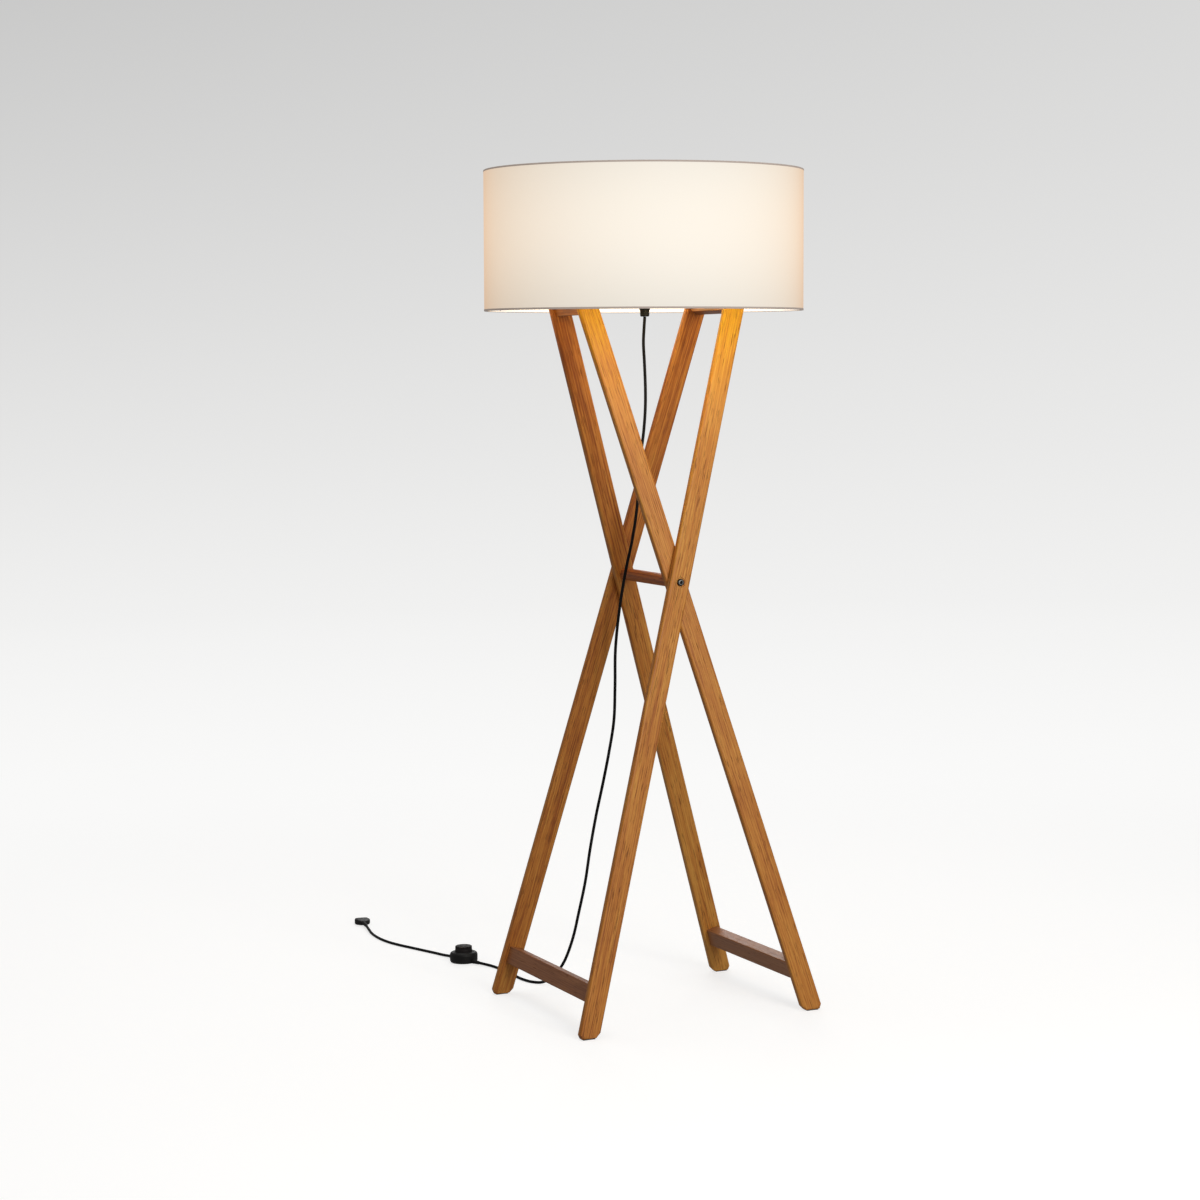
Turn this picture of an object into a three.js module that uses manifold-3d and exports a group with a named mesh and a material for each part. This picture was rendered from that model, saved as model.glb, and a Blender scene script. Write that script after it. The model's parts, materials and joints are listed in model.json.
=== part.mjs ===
// Trestle floor lamp: two wooden frames crossed on a pivot, a drum shade with one bulb,
// and a mains lead with a round foot switch and a plug.
// Millimetres, +Z up. The origin is on the floor, under the middle of the shade.
// X is the way the frames spread, Y is the pivot axis, and "front" is the -Y side.

import * as THREE from "three";
import { mergeVertices } from "three/addons/utils/BufferGeometryUtils.js";
import Module from "manifold-3d";

const wasm = await Module();
wasm.setup();

const DEGREE = Math.PI / 180;
const GAP = 0.3; // between pieces that touch

// Frames
const PIVOT_HEIGHT = 846;
const LEAN = 16 * DEGREE; // each frame from upright, seen along the pivot
const SPLAY = 5.35 * DEGREE; // each leg from its frame's centre line, wider at the floor
const LEG_WIDTH = 41;
const LEG_THICKNESS = 16;
const LEG_EDGE = 4;
const LEG_TOP_HEIGHT = 1405;
const INNER_HALF_SPAN = 119; // centre plane to leg centre, at the pivot
const OUTER_HALF_SPAN = 136.6;
const CHAMFER_WIDTH = 6.5;
const CHAMFER_LENGTH = 10;
const PAD_HEIGHT = 1.8;
const PAD_LENGTH = 25;
const PAD_WIDTH = 12;
const SOLE_TRIM = 1.5; // how much of the rounded leg end the flat sole cuts away

// Rails, measured along the frame from the pivot
const RAIL_HEIGHT = 35;
const RAIL_DEPTH = 24;
const RAIL_EDGE = 2;
const TOP_RAIL_CENTRE = 553.5;
const BOTTOM_RAIL_CENTRE = -798;
const TENON_DEPTH = 10;
const TENON_HEIGHT = 22;
const TENON_REACH = 9;

// Pivot
const SPREADER_DIAMETER = 24;
const BOLT_DIAMETER = 8;
const BOLT_HEAD_DIAMETER = 13.5;
const BOLT_HEAD_HEIGHT = 5;
const BOLT_LENGTH = 56;
const BOLT_RECESS_DIAMETER = 19;
const BOLT_RECESS_DEPTH = 2.5;
const HEX_SOCKET_WIDTH = 5;
const HEX_SOCKET_DEPTH = 3;
const INSERT_DIAMETER = 12;
const INSERT_LENGTH = 20;
const WASHER_DIAMETER = 22;
const WASHER_THICKNESS = 0.9;

// Head
const CARRIER_WIDTH = 40;
const CARRIER_THICKNESS = 3;
const CARRIER_LIP_BOTTOM = 1376;
const TUBE_DIAMETER = 10;
const TUBE_BOTTOM = 1373;
const TUBE_TOP = 1419;
const NUT_WIDTH = 16;
const NUT_HEIGHT = 4.5;
const GLAND_BOTTOM = 1355;
const GLAND_HEIGHT = 25;
const HOLDER_BOTTOM = 1408.5;
const BULB_CAP_BOTTOM = 1440;
const BULB_DIAMETER = 60;
const BULB_CENTRE = 1523;

// Shade
const SHADE_DIAMETER = 620;
const SHADE_WALL = 1.6;
const SHADE_BOTTOM = 1366;
const SHADE_TOP = 1637;
const RING_WIRE = 3.6;
const SPOKE_DIAMETER = 4;
const SPOKE_COUNT = 4;
const CENTRE_RING_HEIGHT = 1430;
const CENTRE_RING_INNER = 42;
const CENTRE_RING_OUTER = 58;

// Lead, foot switch and plug
const LEAD_DIAMETER = 6;
const RELIEF_DIAMETER = 8.8;
const SWITCH_CENTRE = new THREE.Vector3(-199.5, 538, 0);
const SWITCH_DIAMETER = 59;
const SWITCH_HEIGHT = 23.5;
const SWITCH_RELIEF_LENGTH = 20;
const SWITCH_LEAD_HEIGHT = 5.2;
const SWITCH_INLET = new THREE.Vector3(0.328, -0.945, 0).normalize();
const SWITCH_OUTLET = new THREE.Vector3(-0.278, 0.961, 0).normalize();
const BUTTON_DIAMETER = 36;
const BUTTON_BOTTOM = 14;
const BUTTON_GROOVE = 29.5;
const BUTTON_TOP = 36.5;
const PLUG_WIDTH = 35;
const PLUG_THICKNESS = 13.6;
const PLUG_LENGTH = 36;
const PLUG_RELIEF_LENGTH = 30;
const PIN_DIAMETER = 4;
const PIN_LENGTH = 19;
const PIN_SPACING = 19;
const PLUG_NOSE = new THREE.Vector3(-266, 975, PLUG_THICKNESS / 2); // where the lead enters the plug's relief
const PLUG_HEADING = new THREE.Vector3(0.17, 0.985, 0).normalize();

const wood = { color: 0xa9713a, roughness: 0.55, metalness: 0 };
const blackMetal = { color: 0x17171a, roughness: 0.4, metalness: 0.8 };
const steel = { color: 0xb9bcc0, roughness: 0.35, metalness: 1 };
const brass = { color: 0xb98d3e, roughness: 0.35, metalness: 1 };
const nylon = { color: 0xe6e2d8, roughness: 0.5, metalness: 0 };
const felt = { color: 0x1d1b1a, roughness: 1, metalness: 0 };
const blackPlastic = { color: 0x121213, roughness: 0.45, metalness: 0 };
const linen = { color: 0xf4e3c4, roughness: 0.95, metalness: 0 };
const opalGlass = { color: 0xfdf6e4, roughness: 0.3, metalness: 0 };
const whiteSteel = { color: 0xe9e6df, roughness: 0.5, metalness: 0.2 };
const leadSheath = { color: 0x0d0d0e, roughness: 0.5, metalness: 0 };

// ---- Geometry and booleans ----

function solid(geometry) {
  const plain = (geometry.index ? geometry.toNonIndexed() : geometry).clone();
  plain.deleteAttribute("normal");
  plain.deleteAttribute("uv");
  const merged = mergeVertices(plain, 1e-4);
  return new wasm.Manifold(
    new wasm.Mesh({
      numProp: 3,
      vertProperties: merged.attributes.position.array,
      triVerts: new Uint32Array(merged.index.array),
    }),
  );
}

function geometryOf(shape) {
  const mesh = shape.getMesh();
  const geometry = new THREE.BufferGeometry();
  geometry.setAttribute("position", new THREE.BufferAttribute(mesh.vertProperties, 3));
  geometry.setIndex(new THREE.BufferAttribute(mesh.triVerts, 1));
  geometry.computeVertexNormals();
  return geometry;
}

function box(width, depth, height, x, y, z) {
  return new THREE.BoxGeometry(width, depth, height).translate(x, y, z);
}

// A cylinder along Z from bottom to top.
function post(diameter, bottom, top, sides = 24) {
  const geometry = new THREE.CylinderGeometry(diameter / 2, diameter / 2, top - bottom, sides);
  return geometry.rotateX(Math.PI / 2).translate(0, 0, (bottom + top) / 2);
}

// A cylinder along Y from one y to another.
function barAlongY(diameter, from, to, sides = 24) {
  const geometry = new THREE.CylinderGeometry(diameter / 2, diameter / 2, to - from, sides);
  return geometry.translate(0, (from + to) / 2, 0);
}

// A turned piece about Z. The profile is a list of [radius, height], anticlockwise.
function turned(profile, sides = 32) {
  const points = profile.map(([radius, height]) => new THREE.Vector2(radius, height));
  return new THREE.LatheGeometry(points, sides).rotateX(Math.PI / 2);
}

// A flat ring or sleeve about Z.
function sleeve(innerDiameter, outerDiameter, bottom, top, sides = 32) {
  const inner = innerDiameter / 2;
  const outer = outerDiameter / 2;
  return turned([[inner, bottom], [outer, bottom], [outer, top], [inner, top], [inner, bottom]], sides);
}

function hexNut(width, bore, bottom, top) {
  const outside = post(width / Math.cos(30 * DEGREE), bottom, top, 6);
  return geometryOf(solid(outside).subtract(solid(post(bore, bottom - 1, top + 1))));
}

// A rod between two points.
function rod(from, to, diameter, sides = 10) {
  const along = to.clone().sub(from);
  const geometry = new THREE.CylinderGeometry(diameter / 2, diameter / 2, along.length(), sides);
  const turn = new THREE.Quaternion().setFromUnitVectors(new THREE.Vector3(0, 1, 0), along.clone().normalize());
  const middle = from.clone().add(to).multiplyScalar(0.5);
  return geometry.applyQuaternion(turn).translate(middle.x, middle.y, middle.z);
}

// Turns a piece made along +Z so that it lies along a level heading and starts at a point.
function laidAlong(geometry, start, heading) {
  const turn = new THREE.Quaternion().setFromUnitVectors(new THREE.Vector3(0, 0, 1), heading);
  return geometry.applyQuaternion(turn).translate(start.x, start.y, start.z);
}

const lamp = new THREE.Group();

function add(parent, name, geometry, finish) {
  const mesh = new THREE.Mesh(geometry, new THREE.MeshStandardMaterial(finish));
  mesh.name = name;
  parent.add(mesh);
  return mesh;
}

// ---- Wooden frames ----
// Each frame has its own group: Z runs up the frame from the pivot, X is the frame's normal.

const frames = [
  { name: "outer", toward: 1, halfSpan: OUTER_HALF_SPAN },
  { name: "inner", toward: -1, halfSpan: INNER_HALF_SPAN },
];
const sides = [
  { name: "front", sign: -1 },
  { name: "back", sign: 1 },
];

for (const frame of frames) {
  frame.group = new THREE.Group();
  frame.group.position.z = PIVOT_HEIGHT;
  frame.group.rotation.y = frame.toward * LEAN;
  frame.group.updateMatrix();
  lamp.add(frame.group);
}

// From a leg's own axes, with Z along the leg, to its frame's.
function legMatrix(frame, side) {
  const turn = new THREE.Matrix4().makeRotationX(side.sign * SPLAY);
  return turn.setPosition(0, side.sign * frame.halfSpan, 0);
}

// How far along a leg a height is reached, at a distance off the leg's centre line.
function alongLeg(frame, height, offset) {
  const rise = Math.cos(SPLAY) * Math.cos(LEAN);
  return (height - PIVOT_HEIGHT + frame.toward * offset * Math.sin(LEAN)) / rise;
}

// The flat outline with its ends level with the floor and their corners cut off.
function legOutline(frame) {
  const half = LEG_WIDTH / 2;
  const flat = half - CHAMFER_WIDTH;
  const bottom = PAD_HEIGHT + GAP - SOLE_TRIM;
  const outline = [
    [-half, alongLeg(frame, bottom, -half) + CHAMFER_LENGTH],
    [-flat, alongLeg(frame, bottom, -flat)],
    [flat, alongLeg(frame, bottom, flat)],
    [half, alongLeg(frame, bottom, half) + CHAMFER_LENGTH],
    [half, alongLeg(frame, LEG_TOP_HEIGHT, half) - CHAMFER_LENGTH],
    [flat, alongLeg(frame, LEG_TOP_HEIGHT, flat)],
    [-flat, alongLeg(frame, LEG_TOP_HEIGHT, -flat)],
    [-half, alongLeg(frame, LEG_TOP_HEIGHT, -half) - CHAMFER_LENGTH],
  ];
  return new THREE.Shape(outline.map(([x, y]) => new THREE.Vector2(x, y)));
}

// The part of a frame's space beyond a leg's inner face, which rail ends are cut back to.
function beyondLegFace(frame, side) {
  const reach = 80;
  const start = -side.sign * (LEG_THICKNESS / 2 + GAP);
  const height = 2 * PIVOT_HEIGHT;
  const block = box(4 * LEG_WIDTH, reach, height, 0, start + side.sign * (reach / 2), 0);
  return solid(block.applyMatrix4(legMatrix(frame, side)));
}

// Centre plane to a leg's inner face, at a distance up the frame.
function innerFace(frame, up) {
  return frame.halfSpan - up * Math.tan(SPLAY) - LEG_THICKNESS / 2 / Math.cos(SPLAY);
}

function tenon(frame, side, up, clearance) {
  const face = innerFace(frame, up);
  const from = face - 2 * TENON_REACH;
  const to = face + TENON_REACH + clearance;
  const depth = TENON_DEPTH + 2 * clearance;
  const height = TENON_HEIGHT + 2 * clearance;
  return solid(box(depth, to - from, height, 0, side.sign * (from + to) / 2, up));
}

function leg(frame, side) {
  const bar = new THREE.ExtrudeGeometry(legOutline(frame), {
    depth: LEG_THICKNESS - 2 * LEG_EDGE,
    bevelThickness: LEG_EDGE,
    bevelSize: LEG_EDGE,
    bevelOffset: -LEG_EDGE,
    bevelSegments: 3,
  });
  bar.translate(0, 0, LEG_EDGE - LEG_THICKNESS / 2).rotateX(Math.PI / 2);
  let shape = solid(bar.applyMatrix4(legMatrix(frame, side)));
  const floorBlock = box(2000, 2000, 100, 0, 0, PAD_HEIGHT + GAP - 50);
  shape = shape.subtract(solid(floorBlock.applyMatrix4(frame.group.matrix.clone().invert())));
  for (const up of [TOP_RAIL_CENTRE, BOTTOM_RAIL_CENTRE]) {
    shape = shape.subtract(tenon(frame, side, up, GAP));
  }
  const farOut = side.sign * (frame.halfSpan + 60);
  const boreEnds = [0, farOut].sort((a, b) => a - b);
  shape = shape.subtract(solid(barAlongY(BOLT_DIAMETER + 2 * GAP, ...boreEnds)));
  if (frame.name === "outer") {
    const recessFloor = side.sign * (frame.halfSpan + LEG_THICKNESS / 2 - BOLT_RECESS_DEPTH);
    const recessEnds = [recessFloor, farOut].sort((a, b) => a - b);
    shape = shape.subtract(solid(barAlongY(BOLT_RECESS_DIAMETER, ...recessEnds)));
  }
  return geometryOf(shape);
}

function rail(frame, up) {
  const half = { x: RAIL_DEPTH / 2, y: RAIL_HEIGHT / 2 };
  const corners = [[1, -1, -90], [1, 1, 0], [-1, 1, 90], [-1, -1, 180]];
  const section = new THREE.Shape();
  for (const [x, y, start] of corners) {
    const centre = { x: x * (half.x - RAIL_EDGE), y: y * (half.y - RAIL_EDGE) };
    section.absarc(centre.x, centre.y, RAIL_EDGE, start * DEGREE, (start + 90) * DEGREE);
  }
  const length = 2 * (innerFace(frame, up) + 5);
  const bar = new THREE.ExtrudeGeometry(section, { depth: length, bevelEnabled: false, curveSegments: 3 });
  bar.translate(0, 0, -length / 2).rotateX(Math.PI / 2).translate(0, 0, up);
  let shape = solid(bar);
  for (const side of sides) {
    shape = shape.subtract(beyondLegFace(frame, side)).add(tenon(frame, side, up, 0));
  }
  return geometryOf(shape);
}

for (const frame of frames) {
  for (const side of sides) {
    add(frame.group, frame.name + "_leg_" + side.name, leg(frame, side), wood);
  }
  add(frame.group, frame.name + "_top_rail", rail(frame, TOP_RAIL_CENTRE), wood);
  add(frame.group, frame.name + "_bottom_rail", rail(frame, BOTTOM_RAIL_CENTRE), wood);
}

// Felt pads lie level under the soles.
for (const frame of frames) {
  for (const side of sides) {
    const along = alongLeg(frame, PAD_HEIGHT, 0);
    const sole = new THREE.Vector3(0, 0, along).applyMatrix4(legMatrix(frame, side));
    sole.applyMatrix4(frame.group.matrix);
    const pad = box(PAD_LENGTH, PAD_WIDTH, PAD_HEIGHT, sole.x, sole.y, PAD_HEIGHT / 2);
    add(lamp, frame.name + "_foot_pad_" + side.name, pad, felt);
  }
}

// ---- Pivot ----
// The spreader bar runs between the inner legs. A bolt from each side holds the frames on it.

const pivot = new THREE.Group();
pivot.position.z = PIVOT_HEIGHT;
lamp.add(pivot);
const inner = frames[1];

function spreader() {
  const end = innerFace(inner, 0) + 5;
  let shape = solid(barAlongY(SPREADER_DIAMETER, -end, end, 32));
  for (const side of sides) {
    const socketFloor = side.sign * (innerFace(inner, 0) - INSERT_LENGTH - 12);
    const socketEnds = [socketFloor, side.sign * (end + 10)].sort((a, b) => a - b);
    shape = shape.subtract(solid(barAlongY(INSERT_DIAMETER + 2 * GAP, ...socketEnds)));
    shape = shape.subtract(beyondLegFace(inner, side));
  }
  return geometryOf(shape);
}
add(pivot, "pivot_spreader_bar", spreader(), wood);

// Made along +Z from the head's outer face, then turned to point inwards.
function bolt() {
  const head = BOLT_HEAD_DIAMETER / 2;
  const shank = BOLT_DIAMETER / 2;
  const profile = [
    [0, BOLT_LENGTH],
    [shank - 1, BOLT_LENGTH],
    [shank, BOLT_LENGTH - 1],
    [shank, BOLT_HEAD_HEIGHT],
    [head, BOLT_HEAD_HEIGHT],
    [head, 1.2],
    [head - 1.2, 0],
    [0, 0],
  ].reverse();
  const socket = post(HEX_SOCKET_WIDTH / Math.cos(30 * DEGREE), -1, HEX_SOCKET_DEPTH, 6);
  return geometryOf(solid(turned(profile, 24)).subtract(solid(socket)));
}

for (const side of sides) {
  const inwards = side.sign * (Math.PI / 2);
  const seat = OUTER_HALF_SPAN + LEG_THICKNESS / 2 - BOLT_RECESS_DEPTH;
  const boltMesh = add(pivot, "pivot_bolt_" + side.name, bolt(), blackMetal);
  boltMesh.rotation.x = inwards;
  boltMesh.position.y = side.sign * (seat + GAP + BOLT_HEAD_HEIGHT);

  const insertEnd = innerFace(inner, 0) - 3;
  const insert = sleeve(BOLT_DIAMETER + 2 * GAP, INSERT_DIAMETER, 0, INSERT_LENGTH, 20);
  const insertMesh = add(pivot, "threaded_insert_" + side.name, insert, brass);
  insertMesh.rotation.x = inwards;
  insertMesh.position.y = side.sign * insertEnd;

  // The washer leans with the legs, in the middle of the gap between them.
  const middle = (INNER_HALF_SPAN + OUTER_HALF_SPAN) / 2;
  const bore = BOLT_DIAMETER + 4 * GAP;
  const washer = sleeve(bore, WASHER_DIAMETER, -WASHER_THICKNESS / 2, WASHER_THICKNESS / 2, 28);
  const washerSeat = new THREE.Group();
  washerSeat.position.y = side.sign * middle;
  washerSeat.rotation.x = side.sign * SPLAY;
  const washerMesh = add(washerSeat, "pivot_washer_" + side.name, washer, nylon);
  washerMesh.rotation.x = Math.PI / 2;
  pivot.add(washerSeat);
}

// ---- Head: carrier, gland, lampholder and bulb ----

// A strip bent down over both top rails, with a lip outside each.
function carrier() {
  const sin = Math.sin(LEAN);
  const cos = Math.cos(LEAN);
  const railTop = TOP_RAIL_CENTRE + RAIL_HEIGHT / 2;
  const above = railTop + GAP;
  const innerEdge = { x: above * sin - (RAIL_DEPTH / 2) * cos, z: PIVOT_HEIGHT + above * cos + (RAIL_DEPTH / 2) * sin };
  const lip = railTop * sin + (RAIL_DEPTH / 2) * cos + 2 * GAP;
  const slopeDrop = (lip - innerEdge.x) * Math.tan(LEAN);
  const shoulder = innerEdge.z - slopeDrop;
  const t = CARRIER_THICKNESS;
  const right = [
    [innerEdge.x, innerEdge.z],
    [lip, shoulder],
    [lip, CARRIER_LIP_BOTTOM],
    [lip + t, CARRIER_LIP_BOTTOM],
    [lip + t, shoulder + t * 0.7],
    [innerEdge.x + t * Math.tan(LEAN / 2), innerEdge.z + t],
  ];
  const left = right.map(([x, z]) => [-x, z]).reverse();
  const outline = [...right, ...left].map(([x, z]) => new THREE.Vector2(x, z));
  const strip = new THREE.ExtrudeGeometry(new THREE.Shape(outline), { depth: CARRIER_WIDTH, bevelEnabled: false });
  strip.translate(0, 0, -CARRIER_WIDTH / 2).rotateX(Math.PI / 2);
  const hole = post(TUBE_DIAMETER + 2 * GAP, innerEdge.z - 10, innerEdge.z + 10);
  return { geometry: geometryOf(solid(strip).subtract(solid(hole))), underside: innerEdge.z };
}
const headCarrier = carrier();
add(lamp, "head_carrier", headCarrier.geometry, blackMetal);

const carrierTop = headCarrier.underside + CARRIER_THICKNESS;
const nutBore = TUBE_DIAMETER + 2 * GAP;
const lowerNutTop = headCarrier.underside - GAP;
const upperNutBottom = carrierTop + GAP;
add(lamp, "threaded_tube", sleeve(7, TUBE_DIAMETER, TUBE_BOTTOM, TUBE_TOP, 24), steel);
add(lamp, "tube_nut_lower", hexNut(NUT_WIDTH, nutBore, lowerNutTop - NUT_HEIGHT, lowerNutTop), steel);
add(lamp, "tube_nut_upper", hexNut(NUT_WIDTH, nutBore, upperNutBottom, upperNutBottom + NUT_HEIGHT), steel);

// The gland tapers down to the lead, and its bore opens at the top for the tube.
function gland() {
  const top = GLAND_BOTTOM + GLAND_HEIGHT;
  const bore = TUBE_DIAMETER / 2 + GAP;
  return turned([
    [0, GLAND_BOTTOM],
    [8, GLAND_BOTTOM],
    [8.8, GLAND_BOTTOM + 1.2],
    [9.2, GLAND_BOTTOM + 12],
    [10.6, GLAND_BOTTOM + 13.5],
    [10.6, top],
    [bore, top],
    [bore, TUBE_BOTTOM - GAP],
    [0, TUBE_BOTTOM - GAP],
  ], 28);
}
add(lamp, "lead_gland", gland(), blackPlastic);

// Lampholder: a base cup on the tube, a barrel with a shoulder, and a ring that clamps the shade.
const holderShoulder = CENTRE_RING_HEIGHT - GAP;
const holderTop = 1466;
const barrelDiameter = CENTRE_RING_INNER - 2;

function lampholderBase() {
  const bore = TUBE_DIAMETER / 2 + GAP;
  return turned([
    [bore, HOLDER_BOTTOM],
    [18, HOLDER_BOTTOM],
    [22, HOLDER_BOTTOM + 3],
    [22, holderShoulder - 6],
    [18, holderShoulder - 6],
    [18, HOLDER_BOTTOM + 3],
    [bore, HOLDER_BOTTOM + 3],
    [bore, HOLDER_BOTTOM],
  ]);
}
add(lamp, "lampholder_base", lampholderBase(), blackPlastic);

function lampholderBarrel() {
  const bottom = holderShoulder - 6 + GAP;
  return turned([
    [14.5, bottom],
    [24, bottom],
    [24, holderShoulder],
    [barrelDiameter / 2, holderShoulder],
    [barrelDiameter / 2, holderTop],
    [14.5, holderTop],
    [14.5, bottom],
  ]);
}
add(lamp, "lampholder_barrel", lampholderBarrel(), blackPlastic);

const clampBottom = CENTRE_RING_HEIGHT + 2 + GAP;
add(lamp, "shade_clamp_ring", sleeve(barrelDiameter + 2 * GAP, 54, clampBottom, clampBottom + 8), blackPlastic);
add(lamp, "lampholder_terminal", post(26, 1424.2, BULB_CAP_BOTTOM - 2, 20), nylon);

// One bulb: a metal screw cap, and an opal envelope with a round top.
add(lamp, "bulb_cap", post(26, BULB_CAP_BOTTOM, BULB_CAP_BOTTOM + 25, 24), steel);

function bulbEnvelope() {
  const radius = BULB_DIAMETER / 2;
  const neck = 14;
  const bottom = BULB_CAP_BOTTOM + 25 + GAP;
  const profile = [[0, bottom], [neck, bottom], [neck, bottom + 6]];
  const steps = 9;
  const startAngle = -52;
  for (let i = 0; i < steps; i++) {
    const angle = (startAngle + ((90 - startAngle) * i) / steps) * DEGREE;
    profile.push([radius * Math.cos(angle), BULB_CENTRE + radius * Math.sin(angle)]);
  }
  profile.push([0, BULB_CENTRE + radius]);
  return turned(profile, 28);
}
add(lamp, "bulb_envelope", bulbEnvelope(), opalGlass);

// ---- Shade ----

add(lamp, "shade_drum", sleeve(SHADE_DIAMETER - 2 * SHADE_WALL, SHADE_DIAMETER, SHADE_BOTTOM, SHADE_TOP, 96), linen);

const wireRadius = SHADE_DIAMETER / 2 - SHADE_WALL - GAP - RING_WIRE / 2;
const lowerWireHeight = SHADE_BOTTOM + 3;
for (const [name, height] of [["lower", lowerWireHeight], ["upper", SHADE_TOP - 3]]) {
  const wire = new THREE.TorusGeometry(wireRadius, RING_WIRE / 2, 6, 72).translate(0, 0, height);
  add(lamp, "shade_ring_" + name, wire, whiteSteel);
}

const centreRing = sleeve(CENTRE_RING_INNER, CENTRE_RING_OUTER, CENTRE_RING_HEIGHT, CENTRE_RING_HEIGHT + 2);
add(lamp, "shade_centre_ring", centreRing, whiteSteel);

for (let i = 0; i < SPOKE_COUNT; i++) {
  const angle = ((i + 0.5) / SPOKE_COUNT) * 2 * Math.PI;
  const outwards = new THREE.Vector3(Math.cos(angle), Math.sin(angle), 0);
  const startRadius = CENTRE_RING_OUTER / 2 + GAP + 0.3;
  const endRadius = wireRadius - RING_WIRE / 2 - 2 * GAP;
  const from = outwards.clone().multiplyScalar(startRadius).setZ(CENTRE_RING_HEIGHT + 1);
  const to = outwards.clone().multiplyScalar(endRadius).setZ(lowerWireHeight);
  add(lamp, "shade_spoke_" + (i + 1), rod(from, to, SPOKE_DIAMETER), whiteSteel);
}

// ---- Foot switch ----
// It lies on the floor, with a round button that is pressed down by foot.

const footSwitch = new THREE.Group();
footSwitch.position.copy(SWITCH_CENTRE);
lamp.add(footSwitch);

const switchRadius = SWITCH_DIAMETER / 2;
const baseTop = 3;

add(footSwitch, "switch_base", post(SWITCH_DIAMETER - 3, 0, baseTop, 40), blackPlastic);

function switchCover() {
  const wall = 2.2;
  const mouth = BUTTON_DIAMETER / 2 + 0.5;
  const bottom = baseTop + GAP;
  return turned([
    [switchRadius - wall, bottom],
    [switchRadius, bottom],
    [switchRadius, SWITCH_HEIGHT - 6.5],
    [switchRadius - 1.2, SWITCH_HEIGHT - 3],
    [switchRadius - 4, SWITCH_HEIGHT - 0.8],
    [mouth + 2, SWITCH_HEIGHT],
    [mouth, SWITCH_HEIGHT],
    [mouth, SWITCH_HEIGHT - wall],
    [switchRadius - wall, SWITCH_HEIGHT - 6.5],
    [switchRadius - wall, bottom],
  ], 40);
}
add(footSwitch, "switch_cover", switchCover(), blackPlastic);

// The button is a cup, open below over its spring, with a grooved side and a slightly domed top.
function switchButton() {
  const outer = BUTTON_DIAMETER / 2;
  const inside = outer - 3;
  const ceiling = BUTTON_TOP - 3;
  return turned([
    [0, ceiling],
    [inside, ceiling],
    [inside, BUTTON_BOTTOM],
    [outer, BUTTON_BOTTOM],
    [outer, BUTTON_GROOVE],
    [outer - 1, BUTTON_GROOVE + 0.4],
    [outer - 1, BUTTON_GROOVE + 1.1],
    [outer - 0.1, BUTTON_GROOVE + 1.5],
    [outer - 0.1, BUTTON_TOP - 2.4],
    [outer - 1.5, BUTTON_TOP - 1.2],
    [outer - 6, BUTTON_TOP - 0.2],
    [outer - 9, BUTTON_TOP],
    [0, BUTTON_TOP],
  ], 36);
}
add(footSwitch, "switch_button", switchButton(), blackPlastic);
add(footSwitch, "switch_spring", sleeve(9, 12, 10.2, BUTTON_TOP - 3 - GAP, 20), steel);
add(footSwitch, "switch_contact_block", box(26, 20, 6.5, 0, 0, baseTop + GAP + 3.25), nylon);

// A tapered sleeve along +Z, thick end first.
function relief(length) {
  const thick = RELIEF_DIAMETER / 2;
  const thin = LEAD_DIAMETER / 2 + 0.6;
  return turned([[0, 0], [thick, 0], [thick, 3], [thin, length], [0, length]], 16);
}

for (const [name, heading] of [["inlet", SWITCH_INLET], ["outlet", SWITCH_OUTLET]]) {
  const start = heading.clone().multiplyScalar(switchRadius + GAP).setZ(SWITCH_LEAD_HEIGHT);
  const piece = laidAlong(relief(SWITCH_RELIEF_LENGTH), start, heading);
  add(footSwitch, "switch_relief_" + name, piece, blackPlastic);
}

// ---- Plug ----
// A generic flat two-pin plug that lies on the floor.

const plugSeat = PLUG_NOSE.clone().addScaledVector(PLUG_HEADING, PLUG_RELIEF_LENGTH);
const backwards = PLUG_HEADING.clone().negate();
add(lamp, "plug_relief", laidAlong(relief(PLUG_RELIEF_LENGTH), plugSeat, backwards), blackPlastic);

function plugBody() {
  const half = PLUG_WIDTH / 2;
  const outline = new THREE.Shape();
  outline.moveTo(-6, 0);
  outline.lineTo(6, 0);
  outline.quadraticCurveTo(half, 2, half, 20);
  outline.lineTo(half - 2.5, PLUG_LENGTH);
  outline.lineTo(-half + 2.5, PLUG_LENGTH);
  outline.lineTo(-half, 20);
  outline.quadraticCurveTo(-half, 2, -6, 0);
  const body = new THREE.ExtrudeGeometry(outline, {
    depth: PLUG_THICKNESS - 4,
    bevelThickness: 2,
    bevelSize: 2,
    bevelOffset: -2,
    bevelSegments: 2,
    curveSegments: 5,
  });
  return body.translate(0, 0, 2 - PLUG_THICKNESS / 2);
}

const plug = new THREE.Group();
plug.position.copy(plugSeat).addScaledVector(PLUG_HEADING, GAP);
plug.rotation.z = Math.atan2(PLUG_HEADING.y, PLUG_HEADING.x) - Math.PI / 2;
lamp.add(plug);
add(plug, "plug_body", plugBody(), blackPlastic);
for (const [name, across] of [["left", -PIN_SPACING / 2], ["right", PIN_SPACING / 2]]) {
  const pin = barAlongY(PIN_DIAMETER, PLUG_LENGTH + GAP, PLUG_LENGTH + PIN_LENGTH, 14);
  add(plug, "plug_pin_" + name, pin.translate(across, 0, 0), brass);
}

// ---- Lead ----
// From the gland it hangs between the frames, passes beside the spreader bar, meets the floor
// and runs to the switch. From the switch it runs back along the floor to the plug.

const floorLevel = LEAD_DIAMETER / 2 + 0.3;

function besideSwitch(heading) {
  const reach = switchRadius + SWITCH_RELIEF_LENGTH + 2 * GAP;
  return SWITCH_CENTRE.clone().addScaledVector(heading, reach).setZ(SWITCH_LEAD_HEIGHT).toArray();
}

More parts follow.
